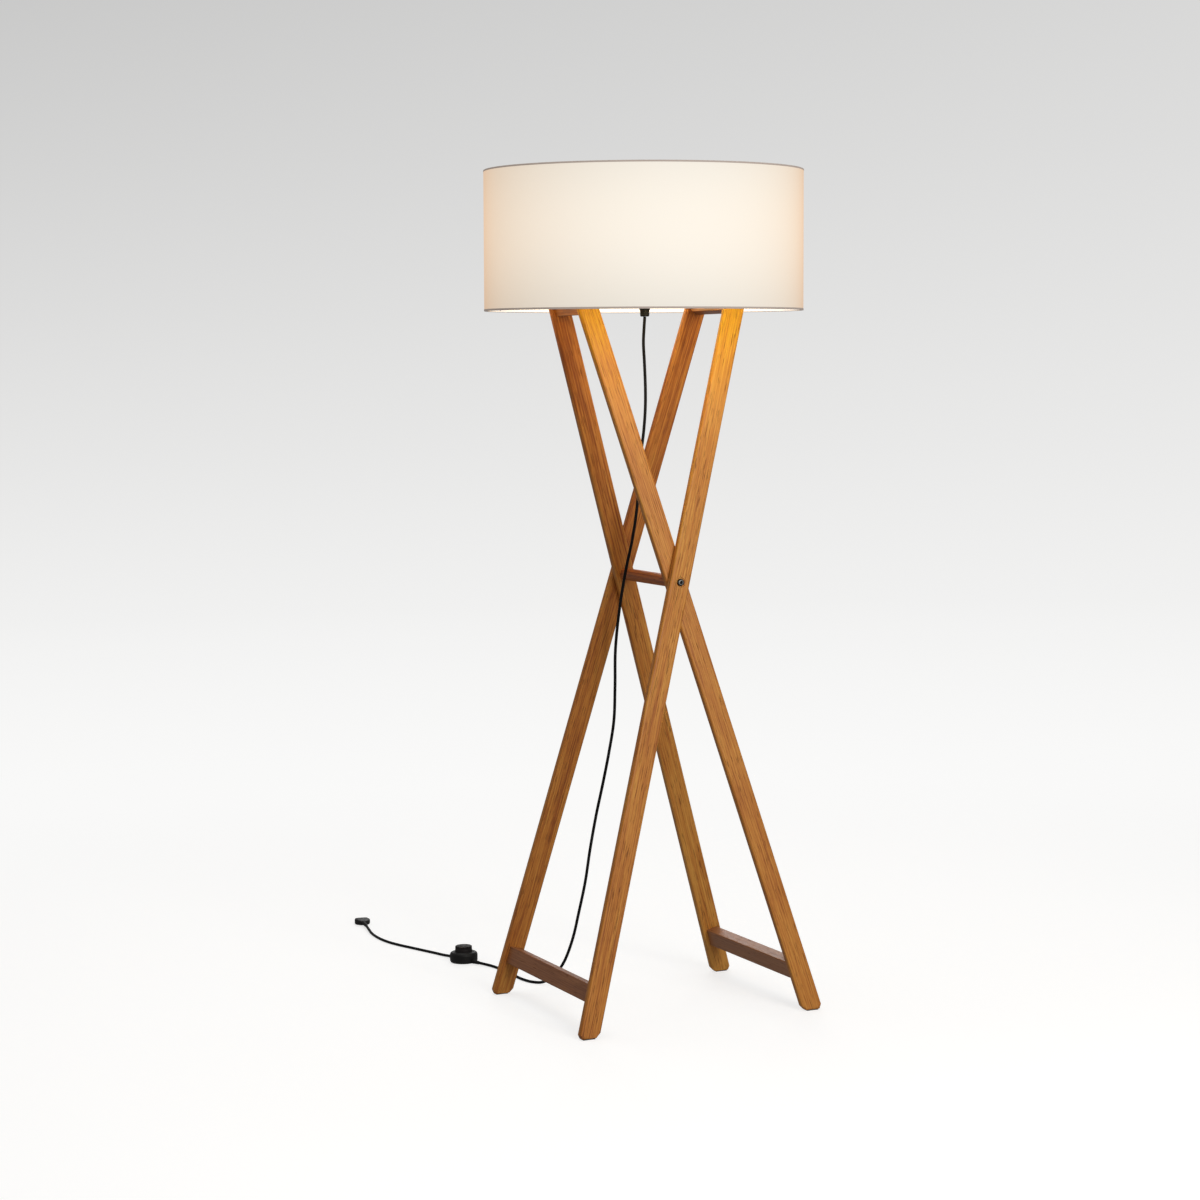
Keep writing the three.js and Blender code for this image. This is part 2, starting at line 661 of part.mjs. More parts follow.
const UPPER_ROUTE = [
  [0, 0, GLAND_BOTTOM - GAP],
  [-1.4, 0.7, 1335],
  [-2.8, 2, 1305],
  [-1, 2.7, 1265],
  [0.6, 3.6, 1215],
  [0.2, 5, 1175],
  [-2.6, 8.5, 1130],
  [-8, 15, 1075],
  [-12, 24, 985],
  [-18, 36, 920],
  [-26, 50, 862],
  [-34, 66, 785],
  [-40, 77, 700],
  [-41, 80, 625],
  [-43, 84, 557],
  [-49, 96, 495],
  [-57, 111, 430],
  [-66, 128, 362],
  [-74, 144, 289],
  [-80, 156, 225],
  [-88, 171, 164],
  [-97, 189, 100],
  [-109, 212, 48],
  [-123, 238, 17],
  [-137, 256, 5],
  [-151, 275, floorLevel],
  [-159, 305, floorLevel],
  [-161, 345, floorLevel],
  [-162, 390, floorLevel],
  [-163, 424, floorLevel],
  [-169, 457, 3.8],
  besideSwitch(SWITCH_INLET),
];

const LOWER_ROUTE = [
  besideSwitch(SWITCH_OUTLET),
  [-218.5, 607, 3.8],
  [-227, 638, floorLevel],
  [-240, 676, floorLevel],
  [-253, 714, floorLevel],
  [-266, 752, floorLevel],
  [-276, 790, floorLevel],
  [-281, 830, floorLevel],
  [-281, 868, floorLevel],
  [-278, 905, 3.7],
  [-272, 942, 5.6],
  PLUG_NOSE.clone().addScaledVector(PLUG_HEADING, -GAP).toArray(),
];

function lead(route, steps) {
  const path = new THREE.CatmullRomCurve3(route.map((point) => new THREE.Vector3(...point)), false, "centripetal");
  const section = new THREE.Shape();
  section.absarc(0, 0, LEAD_DIAMETER / 2, 0, 2 * Math.PI);
  return new THREE.ExtrudeGeometry(section, { steps, extrudePath: path, curveSegments: 8 });
}
add(lamp, "lead_to_switch", lead(UPPER_ROUTE, 64), leadSheath);
add(lamp, "lead_to_plug", lead(LOWER_ROUTE, 18), leadSheath);

export default lamp;
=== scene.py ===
"""Floor lamp on crossed trestle frames: the looks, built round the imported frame. Metres, +Z up."""

import json
from itertools import count, product
from math import atan, ceil, copysign, cos, exp, pi, radians, sin, tan

import bmesh
import bpy
from mathutils import Matrix, Vector, noise

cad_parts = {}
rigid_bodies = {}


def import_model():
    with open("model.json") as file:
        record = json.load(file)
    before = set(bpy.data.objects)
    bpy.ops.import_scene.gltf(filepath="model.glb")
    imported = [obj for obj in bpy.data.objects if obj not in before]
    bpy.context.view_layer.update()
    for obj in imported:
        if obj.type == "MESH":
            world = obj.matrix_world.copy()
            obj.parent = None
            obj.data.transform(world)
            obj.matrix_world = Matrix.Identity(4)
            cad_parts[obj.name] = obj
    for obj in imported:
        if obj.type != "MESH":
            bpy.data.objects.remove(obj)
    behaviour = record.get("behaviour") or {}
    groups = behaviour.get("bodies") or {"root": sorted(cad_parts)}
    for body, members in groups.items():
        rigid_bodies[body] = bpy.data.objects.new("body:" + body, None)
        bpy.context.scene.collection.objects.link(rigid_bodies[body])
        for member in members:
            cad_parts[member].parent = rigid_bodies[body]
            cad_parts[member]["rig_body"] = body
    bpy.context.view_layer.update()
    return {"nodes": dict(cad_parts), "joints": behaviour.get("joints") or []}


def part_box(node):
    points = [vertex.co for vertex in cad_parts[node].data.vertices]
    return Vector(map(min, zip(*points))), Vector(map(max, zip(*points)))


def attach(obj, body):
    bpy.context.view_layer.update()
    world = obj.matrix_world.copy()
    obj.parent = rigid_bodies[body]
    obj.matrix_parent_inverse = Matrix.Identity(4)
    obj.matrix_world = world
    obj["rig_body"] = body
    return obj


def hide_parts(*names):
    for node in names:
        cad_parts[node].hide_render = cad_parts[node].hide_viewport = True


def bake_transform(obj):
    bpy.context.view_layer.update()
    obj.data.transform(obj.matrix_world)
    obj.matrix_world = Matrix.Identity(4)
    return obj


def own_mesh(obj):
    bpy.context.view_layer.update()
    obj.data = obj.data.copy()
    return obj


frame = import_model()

nodes = frame["nodes"]
joints = {joint["name"]: joint for joint in frame["joints"]}
PIVOT = Vector(joints["leg_fold"]["pos_m"])
UP = Vector((0, 0, 1))
ALONG_PIVOT = Vector((0, 1, 0))


def middle(node):
    low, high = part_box(node)
    return (low + high) / 2


def half_width(node):
    low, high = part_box(node)
    return (high.x - low.x) / 2


def in_scene(name, data):
    obj = bpy.data.objects.new(name, data)
    bpy.context.scene.collection.objects.link(obj)
    return obj


# ---- Camera ----

CAMERA_PLACE = Vector((-2.3517, -5.0926, 1.2902))
CAMERA_YAW = radians(23.8)
CAMERA_PITCH = radians(-4.96)
CAMERA_ROLL = radians(-1.0)
CAMERA_LENS = 86.13  # millimetres, on a 36 mm sensor


def make_camera():
    data = bpy.data.cameras.new("camera")
    data.lens = CAMERA_LENS
    data.sensor_width = 36
    camera = in_scene("camera", data)
    level = cos(CAMERA_PITCH)
    ahead = Vector((sin(CAMERA_YAW) * level, cos(CAMERA_YAW) * level, sin(CAMERA_PITCH)))
    right = Vector((cos(CAMERA_YAW), -sin(CAMERA_YAW), 0))
    right = Matrix.Rotation(-CAMERA_ROLL, 3, ahead) @ right
    axes = Matrix((right, right.cross(ahead), -ahead)).transposed()
    camera.matrix_world = Matrix.Translation(CAMERA_PLACE) @ axes.to_4x4()
    bpy.context.scene.camera = camera


make_camera()


# ---- Mesh building ----

CREASE = 35  # degrees: edges sharper than this stay sharp in the shading


def finished(bm, name, material, crease):
    """A bmesh's object, its faces turned out, smooth but for edges sharper than the crease angle."""
    bmesh.ops.recalc_face_normals(bm, faces=bm.faces)
    for face in bm.faces:
        face.smooth = True
    for edge in bm.edges:
        edge.smooth = edge.calc_face_angle(0) < radians(crease)
    mesh = bpy.data.meshes.new(name)
    bm.to_mesh(mesh)
    bm.free()
    mesh.materials.append(material)
    return in_scene(name, mesh)


def closed_object(name, verts, faces, material, crease=CREASE):
    bm = bmesh.new()
    made = [bm.verts.new(v) for v in verts]
    for face in faces:
        bm.faces.new([made[i] for i in face])
    return finished(bm, name, material, crease)


def stands_for(obj, node):
    """The piece rides with the CAD node that it replaces, and the node is hidden."""
    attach(obj, nodes[node]["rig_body"])
    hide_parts(node)
    return obj


def joins(obj, body="lamp_head"):
    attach(obj, body)
    return obj


def on_circle(radius, angle, height=0.0):
    return Vector((radius * cos(angle), radius * sin(angle), height))


def filleted(outline, steps=4, closed=True):
    """An outline of (x, z) or (x, z, radius) points with its corners rounded by those radii."""
    points = [Vector(p[:2]) for p in outline]
    radii = [p[2] if len(p) > 2 else 0 for p in outline]
    rounded = []
    for i, (point, radius) in enumerate(zip(points, radii)):
        at_end = not closed and i in (0, len(points) - 1)
        if radius == 0 or at_end:
            rounded.append(point)
            continue
        back = points[i - 1] - point
        on = points[(i + 1) % len(points)] - point
        reach = min(radius / tan(back.angle(on) / 2), 0.49 * back.length, 0.49 * on.length)
        start = point + back.normalized() * reach
        end = point + on.normalized() * reach
        for k in range(steps + 1):
            t = k / steps
            rounded.append(start * (1 - t) ** 2 + point * 2 * t * (1 - t) + end * t * t)
    return rounded


def lathed(profile, sides=64, closed=True, place=None, shape=None):
    """Turns (radius, height) points about Z. Shape gives a new radius for a radius, height and angle."""
    rows = []
    verts = []
    for radius, height in profile:
        if radius < 1e-6:
            rows.append([len(verts)] * sides)
            verts.append(Vector((0, 0, height)))
            continue
        rows.append([len(verts) + k for k in range(sides)])
        for k in range(sides):
            angle = 2 * pi * k / sides
            r = shape(radius, height, angle) if shape else radius
            verts.append(on_circle(r, angle, height))
    if closed:
        rows.append(rows[0])
    faces = []
    for low, high in zip(rows, rows[1:]):
        for k in range(sides):
            m = (k + 1) % sides
            corners = [low[k], low[m], high[m], high[k]]
            face = [c for j, c in enumerate(corners) if c != corners[j - 1]]
            if len(face) > 2:
                faces.append(face)
    if place is not None:
        verts = [place @ v for v in verts]
    return verts, faces


def ribbed(ribs, depth, low, high):
    """A shape for lathed: ribs up the piece, between two heights."""
    def shape(radius, height, angle):
        if low <= height <= high:
            return radius - depth * (0.5 - 0.5 * cos(ribs * angle))
        return radius

    return shape


def turned(name, outline, material, sides=64, closed=True, place=None, steps=4, shape=None):
    profile = filleted(outline, steps, closed)
    return closed_object(name, *lathed(profile, sides, closed, place, shape), material)


def plastic_for(node, outline, sides=64, **settings):
    """A turned piece of black plastic that stands for a CAD node."""
    obj = turned(node + "_plastic", outline, black_plastic, sides, **settings)
    return stands_for(obj, node)


def screw(name, bore, outer, depth, pitch, bottom, top, material, sides=32):
    """A sleeve with a real helical thread outside. Its two ends run out to the thread's root."""
    rows = max(6, round((top - bottom) / (pitch / 6)))
    step = (top - bottom) / rows
    run_out = 5 * step

    def thread(radius, height, angle):
        if radius == bore:
            return bore
        wave = 0.5 - 0.5 * cos(2 * pi * height / pitch - angle)
        fade = min(1, (height - bottom) / run_out, (top - height) / run_out)
        return outer - depth * (1 - fade * wave)

    profile = [(outer, bottom + step * i) for i in range(rows + 1)] + [(bore, top), (bore, bottom)]
    return closed_object(name, *lathed(profile, sides, shape=thread), material, crease=60)


def lofted(rings):
    """The skin over rings of points, each joined to the next, with a flat face at both ends."""
    sides = len(rings[0])
    verts = [v for ring in rings for v in ring]
    faces = [list(range(sides)), list(range(len(verts) - sides, len(verts)))]
    for start in range(0, len(verts) - sides, sides):
        for k in range(sides):
            m = (k + 1) % sides
            faces.append([start + k, start + m, start + sides + m, start + sides + k])
    return verts, faces


def swept(name, path, radius, material, sides=16):
    """A round bar along a path. The radius may be a function of the share of the way along."""
    width = radius if callable(radius) else (lambda t: radius)
    path = [Vector(p) for p in path]
    last = len(path) - 1
    heading = (path[1] - path[0]).normalized()
    side = heading.orthogonal().normalized()
    rings = []
    for i, point in enumerate(path):
        ahead = (path[min(i + 1, last)] - path[max(i - 1, 0)]).normalized()
        side = (heading.rotation_difference(ahead) @ side).normalized()
        side = (side - ahead * side.dot(ahead)).normalized()
        heading = ahead
        turn = Matrix((side, heading.cross(side), heading)).transposed()
        rings.append([point + turn @ on_circle(width(i / last), 2 * pi * k / sides) for k in range(sides)])
    return closed_object(name, *lofted(rings), material, crease=50)


def box_skin(steps, place):
    """A closed grid, split into steps along a box's three sides. Place gives each corner's point."""
    index = {}
    verts = []

    def corner(*key):
        if key not in index:
            index[key] = len(verts)
            verts.append(place(*key))
        return index[key]

    faces = []
    for axis, (a, b) in enumerate(((1, 2), (0, 2), (0, 1))):
        for end, i, j in product((0, steps[axis]), range(steps[a]), range(steps[b])):
            face = []
            for along, up in ((i, j), (i + 1, j), (i + 1, j + 1), (i, j + 1)):
                key = [end, end, end]
                key[a] = along
                key[b] = up
                face.append(corner(*key))
            faces.append(face)
    return verts, faces


def refined(node, ending, material, bevel, segments=2):
    """A CAD node's shape with its sharp edges eased, and shading that stays even on the flats."""
    weld = 2e-5
    flat = radians(0.6)
    sharp = radians(50)
    bm = bmesh.new()
    bm.from_mesh(nodes[node].data)
    bmesh.ops.remove_doubles(bm, verts=bm.verts, dist=weld)
    bmesh.ops.dissolve_limit(bm, angle_limit=flat, verts=bm.verts, edges=bm.edges)
    edges = [e for e in bm.edges if e.calc_face_angle(0) > sharp]
    if bevel:
        bmesh.ops.bevel(
            bm, geom=edges, offset=bevel, segments=segments, profile=0.5, affect="EDGES", clamp_overlap=True
        )
    obj = finished(bm, node + "_" + ending, material, CREASE)
    obj.modifiers.new("even_flats", "WEIGHTED_NORMAL").keep_sharp = True
    return obj


def eased(node, ending, material, bevel, segments=2):
    return stands_for(refined(node, ending, material, bevel, segments), node)


def facing(start, heading):
    """A place whose +Z runs along a level heading."""
    return Matrix.Translation(start) @ heading.to_track_quat("Z", "Y").to_matrix().to_4x4()


# ---- Materials ----


class Shader:
    """A Principled material whose nodes are added by short calls."""

    def __init__(self, name, **sockets):
        self.material = bpy.data.materials.new(name)
        self.material.use_nodes = True
        self.tree = self.material.node_tree
        self.surface = self.tree.nodes["Principled BSDF"]
        self.set(**sockets)

    def set(self, **sockets):
        for key, value in sockets.items():
            self.feed(self.surface.inputs[key.replace("_", " ")], value)

    def feed(self, socket, value):
        if isinstance(value, bpy.types.NodeSocket):
            self.tree.links.new(value, socket)
        elif socket.type == "RGBA":
            socket.default_value = (*value, 1)
        else:
            socket.default_value = value

    def node(self, kind, **settings):
        made = self.tree.nodes.new("ShaderNode" + kind)
        for key, value in settings.items():
            setattr(made, key, value)
        return made

    def fed(self, made, *values):
        """A node's outputs, once its inputs have these values in their order."""
        for socket, value in zip(made.inputs, values):
            self.feed(socket, value)
        return made.outputs

    def place(self):
        return self.node("TexCoord").outputs["Object"]

    def attribute(self, name, output="Vector"):
        return self.node("Attribute", attribute_name=name).outputs[output]

    def math(self, operation, *values):
        return self.fed(self.node("Math", operation=operation), *values)[0]

    def plus(self, total, *others):
        for value in others:
            total = self.math("ADD", total, value)
        return total

    def times(self, result, *others):
        for value in others:
            result = self.math("MULTIPLY", result, value)
        return result

    def swing(self, value, amount):
        """A value from 0 to 1 as a swing about nothing, of half the amount each way."""
        return self.times(self.math("SUBTRACT", value, 0.5), amount)

    def total(self, base, *parts):
        """The base with the product of each (value, weight) pair added."""
        return self.plus(base, *[self.times(value, weight) for value, weight in parts])

    def vector(self, operation, *values):
        outputs = self.fed(self.node("VectorMath", operation=operation), *values)
        return outputs["Value" if operation == "LENGTH" else "Vector"]

    def split(self, vector):
        return self.fed(self.node("SeparateXYZ"), vector)

    def combine(self, x, y, z):
        return self.fed(self.node("CombineXYZ"), x, y, z)[0]

    def noise(self, where, stretch, detail=3, roughness=0.5):
        """Noise from 0 to 1. Stretch is how many lumps there are in a metre, each way."""
        made = self.node("TexNoise")
        where = self.vector("MULTIPLY", where, stretch)
        settings = {"Vector": where, "Scale": 1, "Detail": detail, "Roughness": roughness}
        for key, value in settings.items():
            self.feed(made.inputs[key], value)
        return made.outputs[0]

    def between(self, value, low, high, start=0.0, end=1.0, smooth=True):
        made = self.node("MapRange", interpolation_type="SMOOTHSTEP" if smooth else "LINEAR")
        return self.fed(made, value, low, high, start, end)[0]

    def ramp(self, value, *stops):
        made = self.node("ValToRGB")
        self.feed(made.inputs[0], value)
        elements = made.color_ramp.elements
        while len(elements) < len(stops):
            elements.new(0.5)
        for element, (position, colour) in zip(elements, stops):
            element.position = position
            element.color = (*colour, 1)
        return made.outputs["Color"]

    def mix(self, share, first, second, blend="MIX"):
        made = self.node("Mix", data_type="RGBA", blend_type=blend)
        for index, value in ((0, share), (6, first), (7, second)):
            self.feed(made.inputs[index], value)
        return made.outputs[2]

    def bump(self, height, distance, strength=1.0):
        made = self.node("Bump")
        made.inputs["Strength"].default_value = strength
        made.inputs["Distance"].default_value = distance
        self.feed(made.inputs["Height"], height)
        self.set(Normal=made.outputs[0])


def scaled(colour, factor, lift=0.0):
    return [min(1, c * factor + lift) for c in colour]


RINGS_PER_METRE = 240
PITH_OFF_X = 0.031
PITH_OFF_Y = 0.047


def grain_layers(s, grain):
    """Growth rings, fibre, streaks, clouds, open pores and dark flecks, each from 0 to 1."""
    x, y, _ = s.split(grain)
    drift = s.swing(s.noise(grain, (11, 11, 1.6), 2), 0.035)
    waver = s.swing(s.noise(grain, (60, 60, 9), 2), 0.0022)
    from_pith = s.combine(s.plus(x, drift, PITH_OFF_X), s.plus(y, waver, PITH_OFF_Y), 0)
    rings = s.math("SINE", s.times(s.vector("LENGTH", from_pith), RINGS_PER_METRE * 2 * pi))
    return (
        s.between(rings, -0.5, 1.0),
        s.noise(grain, (640, 640, 36), 4, 0.65),
        s.noise(grain, (300, 300, 4.6), 3, 0.6),
        s.noise(grain, (42, 42, 8.0), 4, 0.6),
        s.between(s.noise(grain, (620, 620, 34), 2, 0.4), 0.61, 0.69),
        s.between(s.noise(grain, (340, 340, 13), 1), 0.66, 0.76),
    )


# Painted light: the wood is tinted golden towards the tops of the front legs, as if lit by the bulb above
# them.
PAINTED_LIGHT_FROM = 1.15
PAINTED_LIGHT_TO = 1.36
PAINTED_LIGHT_TINT = (0.84, 0.93, 0.04)


def wood(name, honey, pale, mid, dark, rough=0.5, figure=1.0):
    """Oiled straight-grained hardwood. The grain attribute has Z along the board, in metres."""
    s = Shader(name, Specular_IOR_Level=0.34, Coat_Weight=0.05, Coat_Roughness=0.3)
    grain = s.attribute("grain")
    rings, fibre, streak, cloud, pore, fleck = grain_layers(s, grain)
    # Each board's tone along it, partly its own and partly painted light and shade.
    tone = s.plus(s.attribute("tone_with_light_and_shade", "Fac"), 0.47)
    for layer, weight in ((streak, 0.62), (cloud, 0.34), (fibre, 0.34), (rings, -0.07)):
        tone = s.plus(tone, s.swing(layer, weight * figure))
    stops = ((0.30, dark), (0.44, mid), (0.56, pale), (0.68, honey), (0.84, scaled(honey, 1.16)))
    colour = s.ramp(tone, *stops)
    colour = s.mix(s.times(pore, 0.62 * figure), colour, scaled(dark, 0.40))
    colour = s.mix(s.times(fleck, 0.38 * figure), colour, scaled(dark, 0.60))
    across = s.split(s.vector("ABSOLUTE", s.attribute("across")))
    arris = s.times(s.between(across[0], 0.84, 1.0), s.between(across[1], 0.62, 1.0))
    worn = s.times(arris, s.between(s.noise(grain, (40, 40, 12), 3), 0.35, 0.75))
    colour = s.mix(s.times(worn, 0.12), colour, honey)
    end_grain = s.between(across[2], 0.988, 1.0)
    colour = s.mix(s.times(end_grain, 0.45), colour, scaled(dark, 0.5))
    # Painted light: the golden tint that stands for the bulb's light on the front legs' tops.
    painted_bulb_share = s.between(s.split(s.place())[2], PAINTED_LIGHT_FROM, PAINTED_LIGHT_TO)
    painted_bulb_share = s.times(painted_bulb_share, s.attribute("front_leg_painted_light", "Fac"))
    colour = s.mix(painted_bulb_share, colour, s.mix(1.0, colour, PAINTED_LIGHT_TINT, "MULTIPLY"))
    s.set(Base_Color=colour, Roughness=s.total(rough - 0.16, (fibre, 0.22), (pore, 0.20), (cloud, 0.10)))
    s.bump(s.total(0.0, (fibre, 0.5), (pore, -1.0), (rings, -0.25)), 0.00022, 0.55)
    return s.material


def moulded(name, colour, rough, grain=2600, depth=0.00004, patch=1.35):
    """Moulded plastic with a fine spark-eroded texture and slightly handled patches."""
    s = Shader(name, Specular_IOR_Level=0.26)
    place = s.place()
    fine = s.noise(place, (grain, grain, grain), 2, 0.6)
    patches = s.noise(place, (55, 55, 55), 3, 0.6)
    dust = s.between(s.noise(place, (420, 420, 420), 2), 0.62, 0.80)
    tone = s.mix(patches, colour, scaled(colour, patch, 0.002))
    s.set(Base_Color=s.mix(s.times(dust, 0.03), tone, (0.35, 0.34, 0.32)))
    s.set(Roughness=s.total(rough - 0.14, (patches, 0.16), (fine, 0.12)))
    s.bump(fine, depth, 0.6)
    return s.material


def coated(name, colour, rough):
    """Powder coat: an even skin with a fine orange peel and slightly uneven gloss."""
    s = Shader(name, Coat_Weight=0.15, Coat_Roughness=0.4)
    place = s.place()
    peel = s.noise(place, (700, 700, 700), 2, 0.5)
    patches = s.noise(place, (70, 70, 70), 3, 0.6)
    s.set(Base_Color=s.mix(patches, scaled(colour, 0.86), scaled(colour, 1.12, 0.002)))
    s.set(Roughness=s.total(rough - 0.09, (patches, 0.18)))
    s.bump(peel, 0.00006, 0.5)
    return s.material


def bare_metal(name, colour, stain, rough):
    """Machined metal: fine tool lines, uneven tarnish and small dull spots."""
    s = Shader(name, Metallic=1.0)
    place = s.place()
    tool = s.noise(place, (60, 60, 2400), 3, 0.6)
    tarnish = s.noise(place, (120, 120, 120), 4, 0.65)
    spots = s.between(s.noise(place, (650, 650, 650), 2), 0.62, 0.74)
    tone = s.mix(s.between(tarnish, 0.35, 0.75), colour, stain)
    s.set(Base_Color=s.mix(s.times(spots, 0.35), tone, scaled(stain, 0.5)))
    s.set(Roughness=s.total(rough - 0.15, (tool, 0.16), (tarnish, 0.18)))
    s.bump(tool, 0.00003, 0.5)
    return s.material


def oxide_material():
    """Black oxide, with a mottled grey ring on the flat round the hex socket."""
    s = Shader("black_oxide", Metallic=0.7)
    place = s.place()
    off_axis = s.vector("MULTIPLY", s.vector("SUBTRACT", place, PIVOT), (1, 0, 1))
    out = s.vector("LENGTH", off_axis)
    grey_ring = s.times(s.between(out, 0.0028, 0.0033), s.between(out, 0.0048, 0.0053, 1.0, 0.0))
    marks = s.noise(place, (900, 900, 900), 3, 0.6)
    patches = s.noise(place, (200, 200, 200), 3, 0.6)
    black = s.mix(patches, (0.010, 0.010, 0.011), (0.022, 0.021, 0.021))
    share = s.times(grey_ring, s.between(marks, 0.2, 0.6, 0.55, 0.9))
    s.set(Base_Color=s.mix(share, black, (0.19, 0.19, 0.18)), Roughness=s.total(0.36, (marks, 0.2)))
    s.bump(marks, 0.00002, 0.5)
    return s.material


def felt_material():
    s = Shader("felt", Sheen_Weight=0.35, Sheen_Roughness=0.6, Specular_IOR_Level=0.2)
    place = s.place()
    hairs = s.noise(place, (2200, 2200, 900), 5, 0.75)
    clumps = s.noise(place, (260, 260, 260), 4, 0.65)
    pale = s.between(s.noise(place, (1500, 1500, 500), 2), 0.60, 0.68)
    tone = s.mix(clumps, (0.030, 0.027, 0.025), (0.085, 0.078, 0.070))
    s.set(Base_Color=s.mix(s.times(pale, 0.4), tone, (0.20, 0.19, 0.17)))
    s.set(Roughness=s.total(0.86, (clumps, 0.12)))
    s.bump(s.plus(hairs, clumps), 0.0005, 0.9)
    return s.material


def sheath_material():
    """Smooth PVC sheath: a soft gloss, faint handling marks and a little floor dust."""
    s = Shader("lead_sheath", Specular_IOR_Level=0.16)
    place = s.place()
    marks = s.noise(place, (45, 45, 45), 4, 0.6)
    fine = s.noise(place, (900, 900, 900), 3, 0.6)
    dust = s.between(s.noise(place, (180, 180, 180), 3), 0.58, 0.78)
    tone = s.mix(marks, (0.002, 0.002, 0.0022), (0.006, 0.0056, 0.0056))
    s.set(Base_Color=s.mix(s.times(dust, 0.03), tone, (0.30, 0.28, 0.26)))
    s.set(Roughness=s.total(0.46, (marks, 0.2)))
    s.bump(s.total(marks, (fine, 0.4)), 0.00010, 0.4)
    return s.material


BULB_LOW, BULB_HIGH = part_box("bulb_envelope")
BULB_RADIUS = BULB_HIGH.x
BULB_CENTRE = Vector((0, 0, BULB_HIGH.z - BULB_RADIUS))
BULB_STRENGTH = 22
DRUM_LOW, DRUM_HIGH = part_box("shade_drum")
DRUM_RADIUS = DRUM_HIGH.x


def bulb_light_on_drum(s, place):
    """How strongly the bulb lights the drum at a height, 1 level with the bulb and less away from it."""
    away = s.math("SUBTRACT", s.split(place)[2], BULB_CENTRE.z)
    share = s.math("DIVIDE", away, DRUM_RADIUS)
    return s.math("POWER", s.plus(s.times(share, share), 1), -0.9)


def rim_lit_inside(s, place):
    """1 on the inner side of the rims' rolled tape, where the bulb shines on it, and 0 on its outside."""
    x, y, z = s.split(place)
    out = s.vector("LENGTH", s.combine(x, y, 0))
    inside = s.between(out, DRUM_RADIUS - 0.0036, DRUM_RADIUS - 0.0026, 1.0, 0.0)
    above = s.between(z, DRUM_LOW.z + 0.0006, DRUM_LOW.z + 0.0013)
    below = s.between(z, DRUM_HIGH.z - 0.0013, DRUM_HIGH.z - 0.0006, 1.0, 0.0)
    return s.times(above, below, inside)


def turned_in(s, place):
    """1 on the cloth that is turned in over the liner at the hem, and 0 above it."""
    return s.between(s.split(place)[2], DRUM_LOW.z + 0.011, DRUM_LOW.z + 0.013, 1.0, 0.0)


LIT_WHITE = (1.0, 0.965, 0.92)
LIT_STRENGTH = 0.95


def cloth(name, colour, glow, strength, thread=0.0011, relief=0.00016, deepens=None, brighter=None):
    """Plain linen-look weave laid round the drum, glowing from the bulb behind it."""
    s = Shader(name, Specular_IOR_Level=0.15, Sheen_Weight=0.05, Sheen_Roughness=0.5, Emission_Color=glow)
    if deepens:
        # Seen at a slant the light comes through more thread, so the drum's sides look deeper and warmer.
        s.set(Coat_Weight=1.0, Coat_Roughness=1.0, Coat_IOR=1.03, Coat_Tint=deepens)
    place = s.place()
    x, y, z = s.split(place)
    around = s.times(s.math("ARCTAN2", y, x), DRUM_RADIUS)
    laid = s.combine(around, 0, z)
    warp, weft = [s.math("SINE", s.times(way, 2 * pi / thread)) for way in (around, z)]
    weave = s.times(warp, weft)
    slub_across = s.noise(laid, (22, 1, 620), 3, 0.6)
    slub_up = s.noise(laid, (620, 1, 18), 3, 0.6)
    thick = s.total(0.0, (slub_across, 0.5), (slub_up, 0.5))
    tone = s.total(0.0, (thick, 0.7), (s.noise(laid, (7, 1, 9), 2), 0.3))
    s.set(Base_Color=s.mix(s.between(tone, 0.3, 0.7), scaled(colour, 0.93), scaled(colour, 1.03)))
    even = s.total(1.08, (tone, -0.16), (weave, 0.012))
    lit = s.times(bulb_light_on_drum(s, place), even, strength)
    if brighter:
        share = brighter(s, place)
        s.set(Emission_Color=s.mix(share, glow, LIT_WHITE))
        lit = s.total(s.times(lit, s.math("SUBTRACT", 1, share)), (share, LIT_STRENGTH))
    s.set(Emission_Strength=lit, Roughness=s.total(0.85, (thick, 0.1)))
    s.bump(s.total(0.0, (weave, 0.5), (thick, 1.4)), relief, 0.6)
    return s.material


def opal_material():
    """Opal glass, brightest at its middle height, with faint drawn streaks in the gather."""
    s = Shader("opal_glass", Base_Color=(0.93, 0.90, 0.84), Emission_Color=(1.0, 0.60, 0.22), Coat_Weight=0.4)
    place = s.place()
    streaks = s.noise(place, (30, 30, 220), 3, 0.5)
    even = s.between(s.split(place)[2], BULB_LOW.z, BULB_CENTRE.z, 0.55, 1.0)
    s.set(Emission_Strength=s.times(even, s.total(0.9, (streaks, 0.2)), BULB_STRENGTH))
    s.set(Roughness=s.total(0.15, (streaks, 0.15)))
    s.bump(streaks, 0.00008, 0.3)
    return s.material


leg_wood = wood(
    "leg_wood", (0.66, 0.31, 0.056), (0.58, 0.235, 0.038), (0.48, 0.165, 0.023), (0.27, 0.070, 0.009),
)
rail_wood = wood(
    "rail_wood", (0.44, 0.19, 0.074), (0.37, 0.146, 0.052), (0.30, 0.105, 0.034), (0.20, 0.062, 0.017),
    rough=0.44, figure=0.7,
)
bar_wood = wood(
    "bar_wood", (0.57, 0.185, 0.052), (0.47, 0.142, 0.036), (0.37, 0.102, 0.023), (0.22, 0.054, 0.011),
    rough=0.50, figure=0.8,
)
felt = felt_material()
black_coat = coated("black_coat", (0.022, 0.022, 0.024), 0.42)
black_oxide = oxide_material()
zinc = bare_metal("zinc_plate", (0.66, 0.68, 0.70), (0.52, 0.52, 0.50), 0.36)
brass = bare_metal("plain_brass", (0.74, 0.54, 0.24), (0.50, 0.34, 0.15), 0.34)
nylon = moulded("white_nylon", (0.74, 0.72, 0.67), 0.42, 1800, 0.00003, 1.06)
black_plastic = moulded("black_plastic", (0.0065, 0.0062, 0.0062), 0.50)
